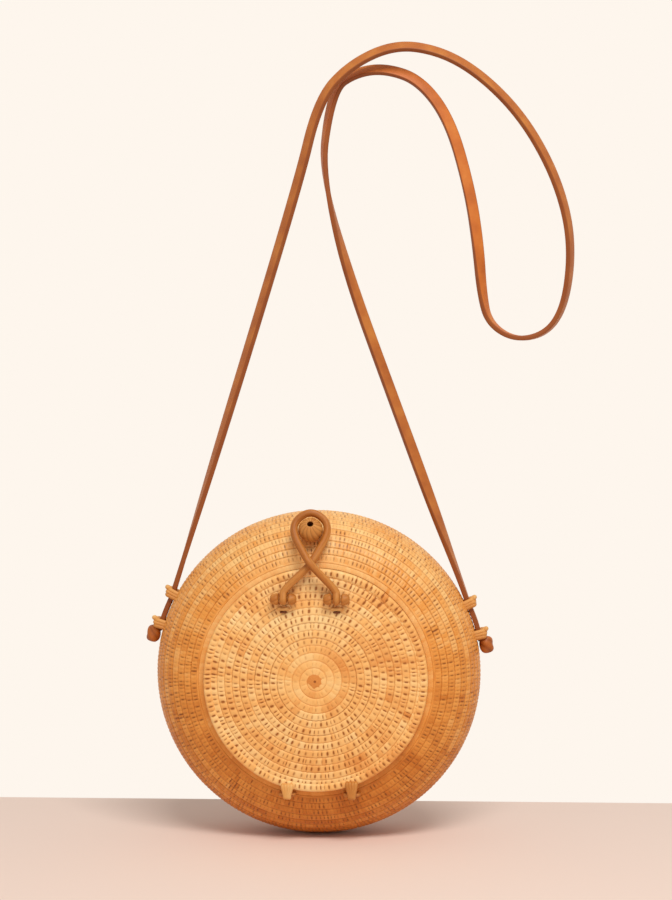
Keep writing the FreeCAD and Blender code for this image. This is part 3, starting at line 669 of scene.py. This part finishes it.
# Radius, rise and tone of the coil's start.
BACK_BUTTON = (0.005, 0.0014, 0.3)
new_piece("back_button", button(-WEAVE_RADIUS, -1, *BACK_BUTTON), *ON_BODY)
# Binding of the mouth, its tone painted dark as shade seen through the gap under the lid's edge.
BINDING_LOOK = {**BODY_LOOK, "tone": 0.15}
BINDING_STITCH = 0.0022
BINDING_RADIUS = FLAT_RADIUS + 0.0004
BINDING_HALF = 0.0021
binding = new_piece("mouth_binding", hoop(
    BINDING_LOOK, BINDING_STITCH, BINDING_RADIUS, WEAVE_RADIUS, math.pi / 2, BINDING_HALF, WALL / 2),
    *ON_BODY)
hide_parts("mouth_rim")
# Thin smooth cane between the last two rows of the shoulder, with half its width and thickness.
RIDGE_LOOK = {**BODY_LOOK, "tone": 0.68}
RIDGE_STITCH = 0.0045
RIDGE_STRENGTH = 0.2
RIDGE_HALVES = (0.0007, 0.0005)
RIDGE_TILT = (EDGE_ROWS - 1.5) * ROW_TURN
RIDGE_REACH = EDGE_RADIUS - 0.0003
new_piece("mouth_ridge", hoop(
    RIDGE_LOOK, RIDGE_STITCH, FLAT_RADIUS + RIDGE_REACH * math.cos(RIDGE_TILT),
    RIDGE_REACH * math.sin(RIDGE_TILT), RIDGE_TILT, *RIDGE_HALVES, RIDGE_STRENGTH), *ON_BODY)

# Lid

ON_LID = (LID_CANE, "lid", "cane_lid")
# Radius of the plain middle, and how far the last row runs under the bound edge.
LID_PLAIN = 0.012
LID_OVERRUN = ROW * 0.3
lid = new_piece("lid_weave", coil(
    LID_LOOK, LID_STITCH, lid_profile, DISC_RADIUS + LID_OVERRUN, LID_WALL / 2, False, first_turn=math.pi,
    plain_within=LID_PLAIN), *ON_LID)
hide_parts("lid_disc")
# Radius, rise and tone of the coil's start.
LID_BUTTON = (0.006, 0.0018, 0.31)
new_piece("lid_button", button(LID_MIDDLE + LID_CROWN, 1, *LID_BUTTON), *ON_LID)
RIM_LOOK = {**LID_LOOK, "fullness": 2.6, "line": 0.0, "lines": {}}
RIM_HALF = LID_RIM_DEPTH / 2 + 0.0007
rim = new_piece("lid_binding", hoop(
    RIM_LOOK, LID_STITCH, LID_RADIUS - RIM_HALF, LID_MIDDLE, math.pi / 2, RIM_HALF, LID_RIM_HEIGHT / 2),
    *ON_LID)
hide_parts("lid_rim")

# Linings

NEAR_AXIS = 0.0003
CLOTH_OUT = EDGE_RADIUS - WALL - LINING_GAP
CLOTH_IN = CLOTH_OUT - LINING_WALL
CLOTH_STEPS = 36
LID_CLOTH_STEPS = 20


def cloth_side(reach, turns):
    """Half the section of the body's lining, at a reach from the middle of the round edge."""
    return [(FLAT_RADIUS + reach * math.sin(turn), -reach * math.cos(turn)) for turn in turns]


cloth_turns = np.linspace(0, math.pi, CLOTH_STEPS)
cloth_outline = [(NEAR_AXIS, -CLOTH_OUT), *cloth_side(CLOTH_OUT, cloth_turns),
                 *cloth_side(CLOTH_IN, cloth_turns[::-1]), (NEAR_AXIS, -CLOTH_IN)]
lining = new_piece("inside_lining", turned(cloth_outline), COTTON, "bag", "lining_cloth")
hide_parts("body_lining")
cloth_front = LID_MIDDLE - LID_WALL / 2 - LINING_GAP
cloth_edge = [(r, cloth_front + LID_CROWN * (1 - (r / DISC_RADIUS) ** 2))
              for r in np.linspace(NEAR_AXIS, LID_LINING_RADIUS, LID_CLOTH_STEPS)]
cloth_back = [(r, f - LINING_WALL) for r, f in cloth_edge[::-1]]
lid_lining = new_piece("lid_cloth", turned(cloth_edge + cloth_back), COTTON, "lid", "lining_cloth")
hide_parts("lid_lining")

# Strap

STRAP_WIDTH = 0.007
STRAP_THICKNESS = 0.003
STRAP_CORNER = 0.0006
CORNER_STEPS = 4
TAIL_RADIUS = BODY_RADIUS + SEAT_GAP + STRAP_THICKNESS / 2
STRAP_ROUTE = (
    (-0.0057, 0, -0.0017), (0.0072, 0, 0.0529), (0.0267, 0, 0.0742), (0.0541, 0, 0.0866),
    (0.0817, 0, 0.0824), (0.1062, 0, 0.0682), (0.1306, 0, 0.0438), (0.1489, 0, 0.0132),
    (0.1594, 0, -0.0172), (0.1618, 0, -0.0445), (0.1576, 0, -0.0734), (0.147, 0.001, -0.0894),
    (0.128, 0.002, -0.0936), (0.1116, 0.003, -0.0832), (0.1074, 0.003, -0.0646), (0.105, 0.004, -0.035),
    (0.0999, 0.006, -0.0019), (0.0878, 0.008, 0.0408), (0.0695, 0.009, 0.0654), (0.0481, 0.009, 0.0728),
    (0.0298, 0.009, 0.0704), (0.0146, 0.009, 0.0596), (0.0072, 0.008, -0.0048), (0.0737, 0, -0.1844))
# Where the strap leaves the rim, from the centre of the bag.
PIVOT_UP = JOINTS["bag_swing"][2] - CENTRE[2]
PIVOT_SIDE = 0.088351
# Degrees above the level of the centre: the keepers, how far the strap's end lies below the lower one and its
# next point above that, and its last point on the rim.
KEEPER_ANGLES = {-1: {"upper": 28, "lower": 16.8}, 1: {"upper": 24.8, "lower": 13.6}}
TAIL_BELOW = 2.3
TAIL_ABOVE = 1.5
TAIL_LAST = 26.5
TAIL_ANGLES = {side: [angles["lower"] - TAIL_BELOW, angles["lower"] + TAIL_ABOVE,
                      (angles["lower"] + angles["upper"]) / 2, TAIL_LAST]
               for side, angles in KEEPER_ANGLES.items()}
# Turn of the strap about its own line in degrees, by share of its length, and the steps that soften it.
STRAP_TURN_SHARES = (
    (0, 0), (0.035, 0), (0.075, 22), (0.12, 36), (0.22, 44), (0.3, 44), (0.42, 38), (0.5, 20),
    (0.535, -8), (0.57, -60), (0.61, -80), (0.66, -64), (0.71, -40), (0.76, -10), (0.81, 48), (0.92, 58),
    (0.965, 0), (1, 0))
STRAP_STEPS = 640
SOFTEN = 15
# Shade of the cut edges, and the share of a corner's radius that counts as cut.
CUT_SHADE = 0.75
CUT_SHARE = 0.7


def rim_spot(side, degrees, radius, ahead=0):
    """A place over the rim, at an angle above the level of the centre."""
    angle = math.radians(degrees)
    return place(side * radius * math.cos(angle), ahead, radius * math.sin(angle))


strap_control = [
    *(rim_spot(-1, angle, TAIL_RADIUS) for angle in TAIL_ANGLES[-1]),
    place(-PIVOT_SIDE, 0, PIVOT_UP), *STRAP_ROUTE, place(PIVOT_SIDE, 0, PIVOT_UP),
    *(rim_spot(1, angle, TAIL_RADIUS) for angle in TAIL_ANGLES[1][::-1])]
strap_line = nurbs_line(strap_control, CORD_STEPS)
strap_run = lengths(strap_line)
even_run = np.linspace(0, strap_run[-1], STRAP_STEPS)
strap_line = np.stack([np.interp(even_run, strap_run, strap_line[:, axis]) for axis in range(3)], axis=-1)
strap_run = lengths(strap_line)
strap_turn = np.radians(np.interp(strap_run / strap_run[-1], *zip(*STRAP_TURN_SHARES)))
soft_window = np.ones(2 * SOFTEN + 1) / (2 * SOFTEN + 1)
strap_turn = np.convolve(np.pad(strap_turn, SOFTEN, mode="edge"), soft_window, mode="valid")
wide, thin = [], []
for direction, turn in zip(directions(strap_line), strap_turn):
    flat = np.array([0, 1, 0]) - direction * direction[1]
    flat = Quaternion(Vector(direction), turn) @ Vector(flat / np.linalg.norm(flat))
    wide.append(flat)
    thin.append(Vector(direction).cross(flat))
wide, thin = np.array(wide), np.array(thin)
section = []
for first, x, y in ((0, 1, 1), (90, -1, 1), (180, -1, -1), (270, 1, -1)):
    for step in range(CORNER_STEPS):
        angle = math.radians(first + 90 * step / (CORNER_STEPS - 1))
        section.append((x * (STRAP_WIDTH / 2 - STRAP_CORNER) + STRAP_CORNER * math.cos(angle),
                        y * (STRAP_THICKNESS / 2 - STRAP_CORNER) + STRAP_CORNER * math.sin(angle)))
section = np.array(section)
strap_rings = (strap_line[:, None, :] + wide[:, None, :] * section[None, :, :1]
               + thin[:, None, :] * section[None, :, 1:])
cut_edge = CUT_SHADE * (np.abs(section[:, 0]) > STRAP_WIDTH / 2 - STRAP_CORNER * CUT_SHARE)
flesh_side = (section[:, 1] < 0).astype(float)
strap = new_piece("strap", lattice(strap_rings, {
    "edge": np.broadcast_to(cut_edge, strap_rings.shape[:2]),
    "flesh": np.broadcast_to(flesh_side, strap_rings.shape[:2])}), LEATHER, None, "strap_leather")
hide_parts("shoulder_strap", "strap_tail_left", "strap_tail_right")
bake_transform(strap)

# Knots on the ends of the strap: a rounded leather lump below the lower keeper.

KNOT_RADIUS = 0.0045
KNOT_LENGTH = 0.0085
KNOT_LIFT = 0.0009
KNOT_SHADE = 0.15
KNOT_GROOVE_SHADE = 1.6
KNOT_FLESH = 0.5
for side_name, side in SIDES:
    out = rim_spot(side, TAIL_ANGLES[side][0], 1.0) - CENTRE
    down = np.array([out[2] * side, 0, -out[0] * side])
    middle = rim_spot(side, TAIL_ANGLES[side][0], BODY_RADIUS + SEAT_GAP + KNOT_RADIUS)
    middle = middle + down * (KNOT_LENGTH / 2 - KNOT_LIFT)
    points, faces, fields = lump(
        middle, down, KNOT_LENGTH / 2 + KNOT_LIFT, KNOT_RADIUS, windings=3, depth=0.14, lay=1.4, taper=0.05,
        fullness=3.2)
    # The cut-edge colour darkens the knot a little all over, and more in its grooves, where it is painted
    # shade.
    fields = {"edge": KNOT_SHADE + KNOT_GROOVE_SHADE * fields["cavity"],
              "flesh": KNOT_FLESH + 0 * fields["tone"]}
    knot = new_piece(f"strap_end_{side_name}", (points, faces, fields), LEATHER, "bag", "strap_leather")
    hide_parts(f"strap_knot_{side_name}")

# Keepers: turns of cane through the wall and over the strap, and the nub where they end.

KEEPER_CANE = 0.0013
KEEPER_REACH = TAIL_RADIUS + STRAP_THICKNESS / 2 + KEEPER_CANE
KEEPER_HALF = 0.0051
KEEPER_FOOT = BODY_RADIUS - 0.003
KEEPER_BEND = 0.001
KEEPER_PROUD = 0.0004
KEEPER_CREST_SHARE = 0.9
KEEPER_STEP = 1.3 * KEEPER_CANE / BODY_RADIUS
# Place of each turn beside the middle one, its rise above the others, and its tone.
KEEPER_TURNS = ((-1, 0.0, 0.59), (0, 0.0006, 0.66), (1, 0.0, 0.73))
NUB_DEGREES = 1.2
NUB_RISE = 0.0012
NUB_AHEAD = KEEPER_HALF * 0.6
NUB_HALF = 0.0026
NUB_RADIUS = 0.0016
for side_name, side in SIDES:
    for level, degrees in KEEPER_ANGLES[side].items():
        shapes = []
        for turn, rise, tone in KEEPER_TURNS:
            spot = degrees + math.degrees(turn * KEEPER_STEP)
            bend, over = KEEPER_REACH - KEEPER_BEND + rise, KEEPER_REACH + KEEPER_PROUD + rise
            half_route = ((KEEPER_FOOT, 1), (bend, 1), (over, KEEPER_CREST_SHARE))
            route = half_route + ((over, 0),) + tuple((reach, -share) for reach, share in half_route[::-1])
            control = [rim_spot(side, spot, reach, share * KEEPER_HALF) for reach, share in route]
            shapes.append(cane(nurbs_line(control, CANE_STEPS), KEEPER_CANE, (0, 0, 1), CANE_SIDES, tone))
        nub = rim_spot(side, degrees + NUB_DEGREES, KEEPER_REACH + NUB_RISE, NUB_AHEAD)
        shapes.append(lump(nub, (side, -0.5, 0.7), NUB_HALF, NUB_RADIUS, windings=3, depth=0.03, tone=0.85))
        keeper = new_piece(f"keeper_cane_{level}_{side_name}", joined(shapes), CORD_CANE, "bag", "cane_cord")
        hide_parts(f"keeper_{level}_{side_name}")

# Knob: a ball wound from cane round its hole.

KNOB_RADIUS = 0.0075
KNOB_BORE = 0.002
KNOB_ANGLE = math.radians(53)
KNOB_SEAT = EDGE_RADIUS + SEAT_GAP + KNOB_RADIUS
KNOB_RINGS = 30
KNOB_SIDES = 96
KNOB_WINDINGS = 13
KNOB_LAY = 5
KNOB_TONE = 0.55
KNOB_SPREAD = 0.06
# Depth of the grooves across and along the hole's axis, and their shade and the bore's.
KNOB_GROOVE_SIDE = 0.045
KNOB_GROOVE_UP = 0.02
KNOB_SHADE = 0.5
BORE_SHADE = 0.9
BORE_RINGS = 6
BORE_WIDTH_SHARE = 0.9
BORE_LENGTH_SHARE = 0.85
CLASP_SHIFT = JOINTS["clasp_swing"][0] - CENTRE[0]
knob_axis = np.array([0, -math.sin(KNOB_ANGLE), math.cos(KNOB_ANGLE)])
knob_centre = place(CLASP_SHIFT, KNOB_SEAT * math.sin(KNOB_ANGLE),
                    FLAT_RADIUS + KNOB_SEAT * math.cos(KNOB_ANGLE))
knob_front = np.cross(knob_axis, RIGHT)
lip = math.asin(KNOB_BORE / KNOB_RADIUS)
outer = np.linspace(lip, math.pi - lip, KNOB_RINGS)
bore_half = BORE_LENGTH_SHARE * KNOB_RADIUS * math.cos(lip)
reach = np.concatenate([KNOB_RADIUS * np.sin(outer), np.full(BORE_RINGS, KNOB_BORE * BORE_WIDTH_SHARE)])
rise = np.concatenate([KNOB_RADIUS * np.cos(outer), np.linspace(-bore_half, bore_half, BORE_RINGS)])
on_ball = np.concatenate([np.ones(KNOB_RINGS), np.zeros(BORE_RINGS)])[None, :]
turn = np.linspace(0, FULL_TURN, KNOB_SIDES, endpoint=False)[:, None]
wind = KNOB_WINDINGS * turn + KNOB_LAY * rise[None, :] / KNOB_RADIUS
groove, tones = strand_look(wind, KNOB_WINDINGS, KNOB_TONE, KNOB_SPREAD, WOUND_ROUNDNESS)
groove = groove * on_ball
r = reach[None, :] * (1 - KNOB_GROOVE_SIDE * groove)
z = rise[None, :] * (1 - KNOB_GROOVE_UP * groove)
out = np.cos(turn)[..., None] * RIGHT + np.sin(turn)[..., None] * knob_front
knob_rings = knob_centre + r[..., None] * out + z[..., None] * knob_axis
knob = new_piece("knob_ball", lattice(knob_rings, {
    "tone": tones, "cavity": np.clip(KNOB_SHADE * groove + BORE_SHADE * (1 - on_ball), 0, 1),
    "grain": np.stack(np.broadcast_arrays(turn * KNOB_RADIUS, z, 0), axis=-1)}, closed=True),
    CORD_CANE, "bag", "cane_cord")
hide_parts("knob")

# Clasp loop: one crossed cord from knot to knot, round the knob.

LOOP_RADIUS = 0.0023
LOOP_GAP = 0.0003
LOOP_SIDES = 40
LOOP_TIP = 0.001
LOOP_TONE = 0.43
# Strands, lay, depth of the grooves and spread of the tones.
LOOP_TWIST = (5, 0.03, 0.05, 0.06)
REST_GAP = 0.0014
CROSS_GAP = 0.0005
# Low and high end of the crossing, and half its width, by the distance from the knots to the knob.
CROSS_SHARES = (0.43, 0.56, 0.05)
CORNER_TURN = math.radians(10)
FOOT_SPREAD = 0.016
FOOT_RADIUS = 0.0036
EYE = FOOT_RADIUS - LOOP_RADIUS
EYE_RISE = 0.0052
foot_place = np.array(JOINTS["clasp_swing"])
foot_up = foot_place[2] - CENTRE[2]
to_knob = knob_centre - foot_place
loop_reach = np.linalg.norm(to_knob)
loop_up = to_knob / loop_reach
loop_back = np.cross(loop_up, RIGHT)
ring_radius = KNOB_RADIUS + LOOP_GAP + LOOP_RADIUS
corner_reach = ring_radius / math.cos((math.pi / 2 - CORNER_TURN) / 2)
corner_side = corner_reach * math.cos(CORNER_TURN)
corner_up = loop_reach + corner_reach * math.sin(CORNER_TURN)
cross_low, cross_high, cross_side = (share * loop_reach for share in CROSS_SHARES)
over_rim = (LID_RADIUS - LID_RIM_HEIGHT / 2 - foot_up) / to_knob[2]
rest = -foot_place[1] - to_knob[1] * over_rim - (LID_MIDDLE + LID_RIM_HEIGHT / 2 + REST_GAP + LOOP_RADIUS)
ahead = rest - 2 * LOOP_RADIUS - CROSS_GAP


def foot_turn(side):
    """The cord's turn round its knot, from behind, under and up in front."""
    across = side * FOOT_SPREAD
    return [(across, EYE, EYE * 0.8), (across, EYE, -EYE), (across, -EYE, -EYE), (across, -EYE, EYE),
            (across * 0.99, -EYE * 0.7, EYE_RISE)]


loop_route = [
    *foot_turn(-1), (-cross_side, rest, cross_low), (cross_side, rest, cross_high),
    (corner_side, 0, corner_up), (0, 0, loop_reach + corner_reach), (-corner_side, 0, corner_up),
    (-cross_side, ahead, cross_high), (cross_side, ahead, cross_low), *foot_turn(1)[::-1]]
loop_control = [foot_place + x * RIGHT + y * loop_back + z * loop_up for x, y, z in loop_route]
loop = new_piece("clasp_cord", cane(
    nurbs_line(loop_control, CORD_STEPS), LOOP_RADIUS, RIGHT, LOOP_SIDES, LOOP_TONE, LOOP_TWIST, LOOP_TIP),
    CORD_CANE, "clasp", "cane_cord")
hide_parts("clasp_loop")

# Knots that hold the loop on the lid: a wound lump on each side of it, and a short end below.

FOOT_HALF = 0.008
FOOT_THROAT = 0.0027
FOOT_PROUD = 0.0004
FOOT_TONE = 0.43
STEM_RADIUS = 0.0012
STEM_SIDES = 8
STEM_SIDE = (FOOT_HALF + FOOT_THROAT) / 2
STEM_TONE = 0.4
# Steps of a stem from its lump back through the lid.
STEM_RUN = np.linspace(0.001, 0.0125, 6)
# The short end, and below it the dark slit, a thin dark cane that paints the shade in the hole where the end
# goes into the lid: drop from the knot, half length, radius and tone.
FOOT_ENDS = ((0.0062, 0.0031, 0.0011, 0.8), (0.0083, 0.0017, 0.0006, -0.2))
END_SIDES = 10
# Depth of its tips in the lid, and its other points by share of the half length and of the radius.
END_SINK = 0.0014
END_SHARES = ((-1, 0.4), (-0.4, 0.7), (0.4, 0.7), (1, 0.4))
for side_name, side in SIDES:
    middle = foot_place + side * FOOT_SPREAD * RIGHT
    shapes = []
    for row in (-1, 1):
        shapes.append(lump(
            middle + row * STEM_SIDE * RIGHT, row * RIGHT, (FOOT_HALF - FOOT_THROAT) / 2,
            FOOT_RADIUS + FOOT_PROUD, windings=6, depth=0.06, lay=0.8, taper=0.3, fullness=3.2,
            tone=FOOT_TONE))
        stem = middle + np.array([[row * STEM_SIDE, y, 0] for y in STEM_RUN])
        shapes.append(cane(stem, STEM_RADIUS, RIGHT, STEM_SIDES, STEM_TONE))
    for drop, half, thick, tone in FOOT_ENDS:
        face = LID_MIDDLE + LID_WALL / 2 + LID_CROWN * (1 - ((foot_up - drop) / DISC_RADIUS) ** 2)
        spots = [(-1, -END_SINK)] + [(x, share * thick) for x, share in END_SHARES] + [(1, -END_SINK)]
        control = [np.array([middle[0] + x * half, -face - y, middle[2] - drop]) for x, y in spots]
        shapes.append(cane(nurbs_line(control, CANE_STEPS), thick, (0, 0, 1), END_SIDES, tone))
    foot = new_piece(f"clasp_foot_{side_name}", joined(shapes), CORD_CANE, "lid", "cane_cord")
    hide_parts(f"clasp_knot_{side_name}")

# Hinge ties: strands of cane out of the lid's bound edge, drawn together round the staple.

HINGE_AHEAD = -JOINTS["lid_hinge"][1]
HINGE_UP = JOINTS["lid_hinge"][2] - CENTRE[2]
# Place across and tone of each tie.
TIES = (("left", -0.017, 0.8), ("right", 0.022, 0.5))
TIE_REACH = LID_RADIUS - LID_RIM_DEPTH / 2
TIE_RADIUS = 0.0012
TIE_TIP = 0.0006
TIE_OUTSIDE = 0.0028
TIE_EYE = TIE_OUTSIDE - TIE_RADIUS
TIE_ROWS = (-1, -0.35, 0.35, 1)
TIE_TONE_STEP = 0.05
# Half the spread of the strands at the staple and at the lid.
TIE_NEAR = 0.0013
TIE_FAR = 0.0026
# The bend out of the lid's edge, how far a strand then stands out, drops and sags, and its end's height.
TIE_BEND = 0.0004
TIE_PROUD = 0.0002
TIE_DROP = 0.0012
TIE_SAG = 0.0008
TIE_END = 0.0004
for side_name, across, tone in TIES:
    top = -math.sqrt(TIE_REACH ** 2 - across ** 2)
    front, behind = HINGE_AHEAD + TIE_EYE, HINGE_AHEAD - TIE_EYE
    shapes = []
    for row in TIE_ROWS:
        near, far = across + row * TIE_NEAR, across + row * TIE_FAR
        control = [place(*spot) for spot in (
            (far, LID_MIDDLE, top), (far, front - TIE_BEND, top + TIE_BEND),
            (far, front + TIE_PROUD, top - TIE_DROP),
            ((near + far) / 2, front + TIE_PROUD, (top + HINGE_UP) / 2 - TIE_SAG),
            (near, front, HINGE_UP), (near, front, HINGE_UP - TIE_EYE),
            (near, behind, HINGE_UP - TIE_EYE), (near, behind, HINGE_UP + TIE_END))]
        shapes.append(cane(nurbs_line(control, CANE_STEPS), TIE_RADIUS, RIGHT, CANE_SIDES,
                           tone + TIE_TONE_STEP * row, ends=TIE_TIP))
    tie = new_piece(f"hinge_cane_{side_name}", joined(shapes), CORD_CANE, "lid", "cane_cord")
    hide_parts(f"hinge_tie_{side_name}")

# Frame parts that stay in view.

for name in ("knob_cord", "knob_stop", "clasp_stop_left", "clasp_stop_right", "hinge_staple_left",
             "hinge_staple_right"):
    item = bpy.data.objects[name]
    item.data.materials.clear()
    item.data.materials.append(PLAIN_CANE)

# Camera at the photograph's view.

CAMERA_AZIMUTH = math.radians(3.089)
CAMERA_ELEVATION = math.radians(8.397)
CAMERA_DISTANCE = 1.6
CAMERA_YAW = math.radians(2.703)
CAMERA_PITCH = math.radians(3.493)
CAMERA_LENS = 103.13
CAMERA_SENSOR = 36


def towards(azimuth, elevation):
    """A unit direction from the bag, in front of it at no azimuth."""
    return Vector((math.sin(azimuth) * math.cos(elevation), -math.cos(azimuth) * math.cos(elevation),
                   math.sin(elevation)))


lens = bpy.data.cameras.new("camera")
lens.lens = CAMERA_LENS
lens.sensor_width = CAMERA_SENSOR
camera = add_object("camera", lens)
camera.location = Vector(CENTRE) + CAMERA_DISTANCE * towards(CAMERA_AZIMUTH, CAMERA_ELEVATION)
camera.rotation_euler = (-towards(CAMERA_YAW, CAMERA_PITCH)).to_track_quat("-Z", "Y").to_euler()
bpy.context.scene.camera = camera

# Floor

FLOOR_TOP = CENTRE[2] - BODY_RADIUS - SEAT_GAP
FLOOR_DEPTH = 0.03
FLOOR_HALF = 1.5
FLOOR_FRONT = -1.2
FLOOR_BACK = 0.1
floor_corners = ((-FLOOR_HALF, FLOOR_FRONT), (FLOOR_HALF, FLOOR_FRONT), (FLOOR_HALF, FLOOR_BACK),
                 (-FLOOR_HALF, FLOOR_BACK))
floor_mesh = bpy.data.meshes.new("floor")
floor_mesh.from_pydata([(x, y, FLOOR_TOP - drop) for drop in (0, FLOOR_DEPTH) for x, y in floor_corners], [],
                       [(0, 1, 2, 3), (7, 6, 5, 4), (0, 4, 5, 1), (1, 5, 6, 2), (2, 6, 7, 3), (3, 7, 4, 0)])
floor_material, _, floor_shader = new_material("pale_floor")
set_inputs(floor_shader, {"Base Color": rgb(240, 216, 201), "Roughness": 0.85, "Specular IOR Level": 0.2})
floor_mesh.materials.append(floor_material)
floor = add_object("floor", floor_mesh)

# Light and background

KEY_PLACE = Vector((0.32, -1.15, 1.3))
KEY_TARGET = Vector(place(0, 0, 0.05))
KEY_SIZE = (1.0, 0.6)
KEY_POWER = 24
lamp = bpy.data.lights.new("key", "AREA")
lamp.shape = "RECTANGLE"
lamp.size, lamp.size_y = KEY_SIZE
lamp.energy = KEY_POWER
key = add_object("key", lamp)
key.location = KEY_PLACE
key.rotation_euler = (KEY_TARGET - KEY_PLACE).to_track_quat("-Z", "Y").to_euler()
world = bpy.data.worlds.new("studio")
world.use_nodes = True
tree = world.node_tree
ambient = tree.nodes["Background"]
set_inputs(ambient, {"Color": (1, 0.99, 0.97, 1), "Strength": 0.5})
backdrop = node(tree, "ShaderNodeBackground", {"Color": rgb(254, 246, 237)})
rays = node(tree, "ShaderNodeLightPath")
seen = rays.outputs["Is Camera Ray"]
for kind in ("Is Glossy Ray", "Is Transmission Ray"):
    either = node(tree, "ShaderNodeMath", operation="MAXIMUM")
    link(seen, either.inputs[0])
    link(rays.outputs[kind], either.inputs[1])
    seen = either.outputs["Value"]
choice = node(tree, "ShaderNodeMixShader")
link(seen, choice.inputs["Fac"])
link(ambient.outputs["Background"], choice.inputs[1])
link(backdrop.outputs["Background"], choice.inputs[2])
link(choice.outputs["Shader"], tree.nodes["World Output"].inputs["Surface"])
bpy.context.scene.world = world
bpy.context.scene.view_settings.view_transform = "Standard"
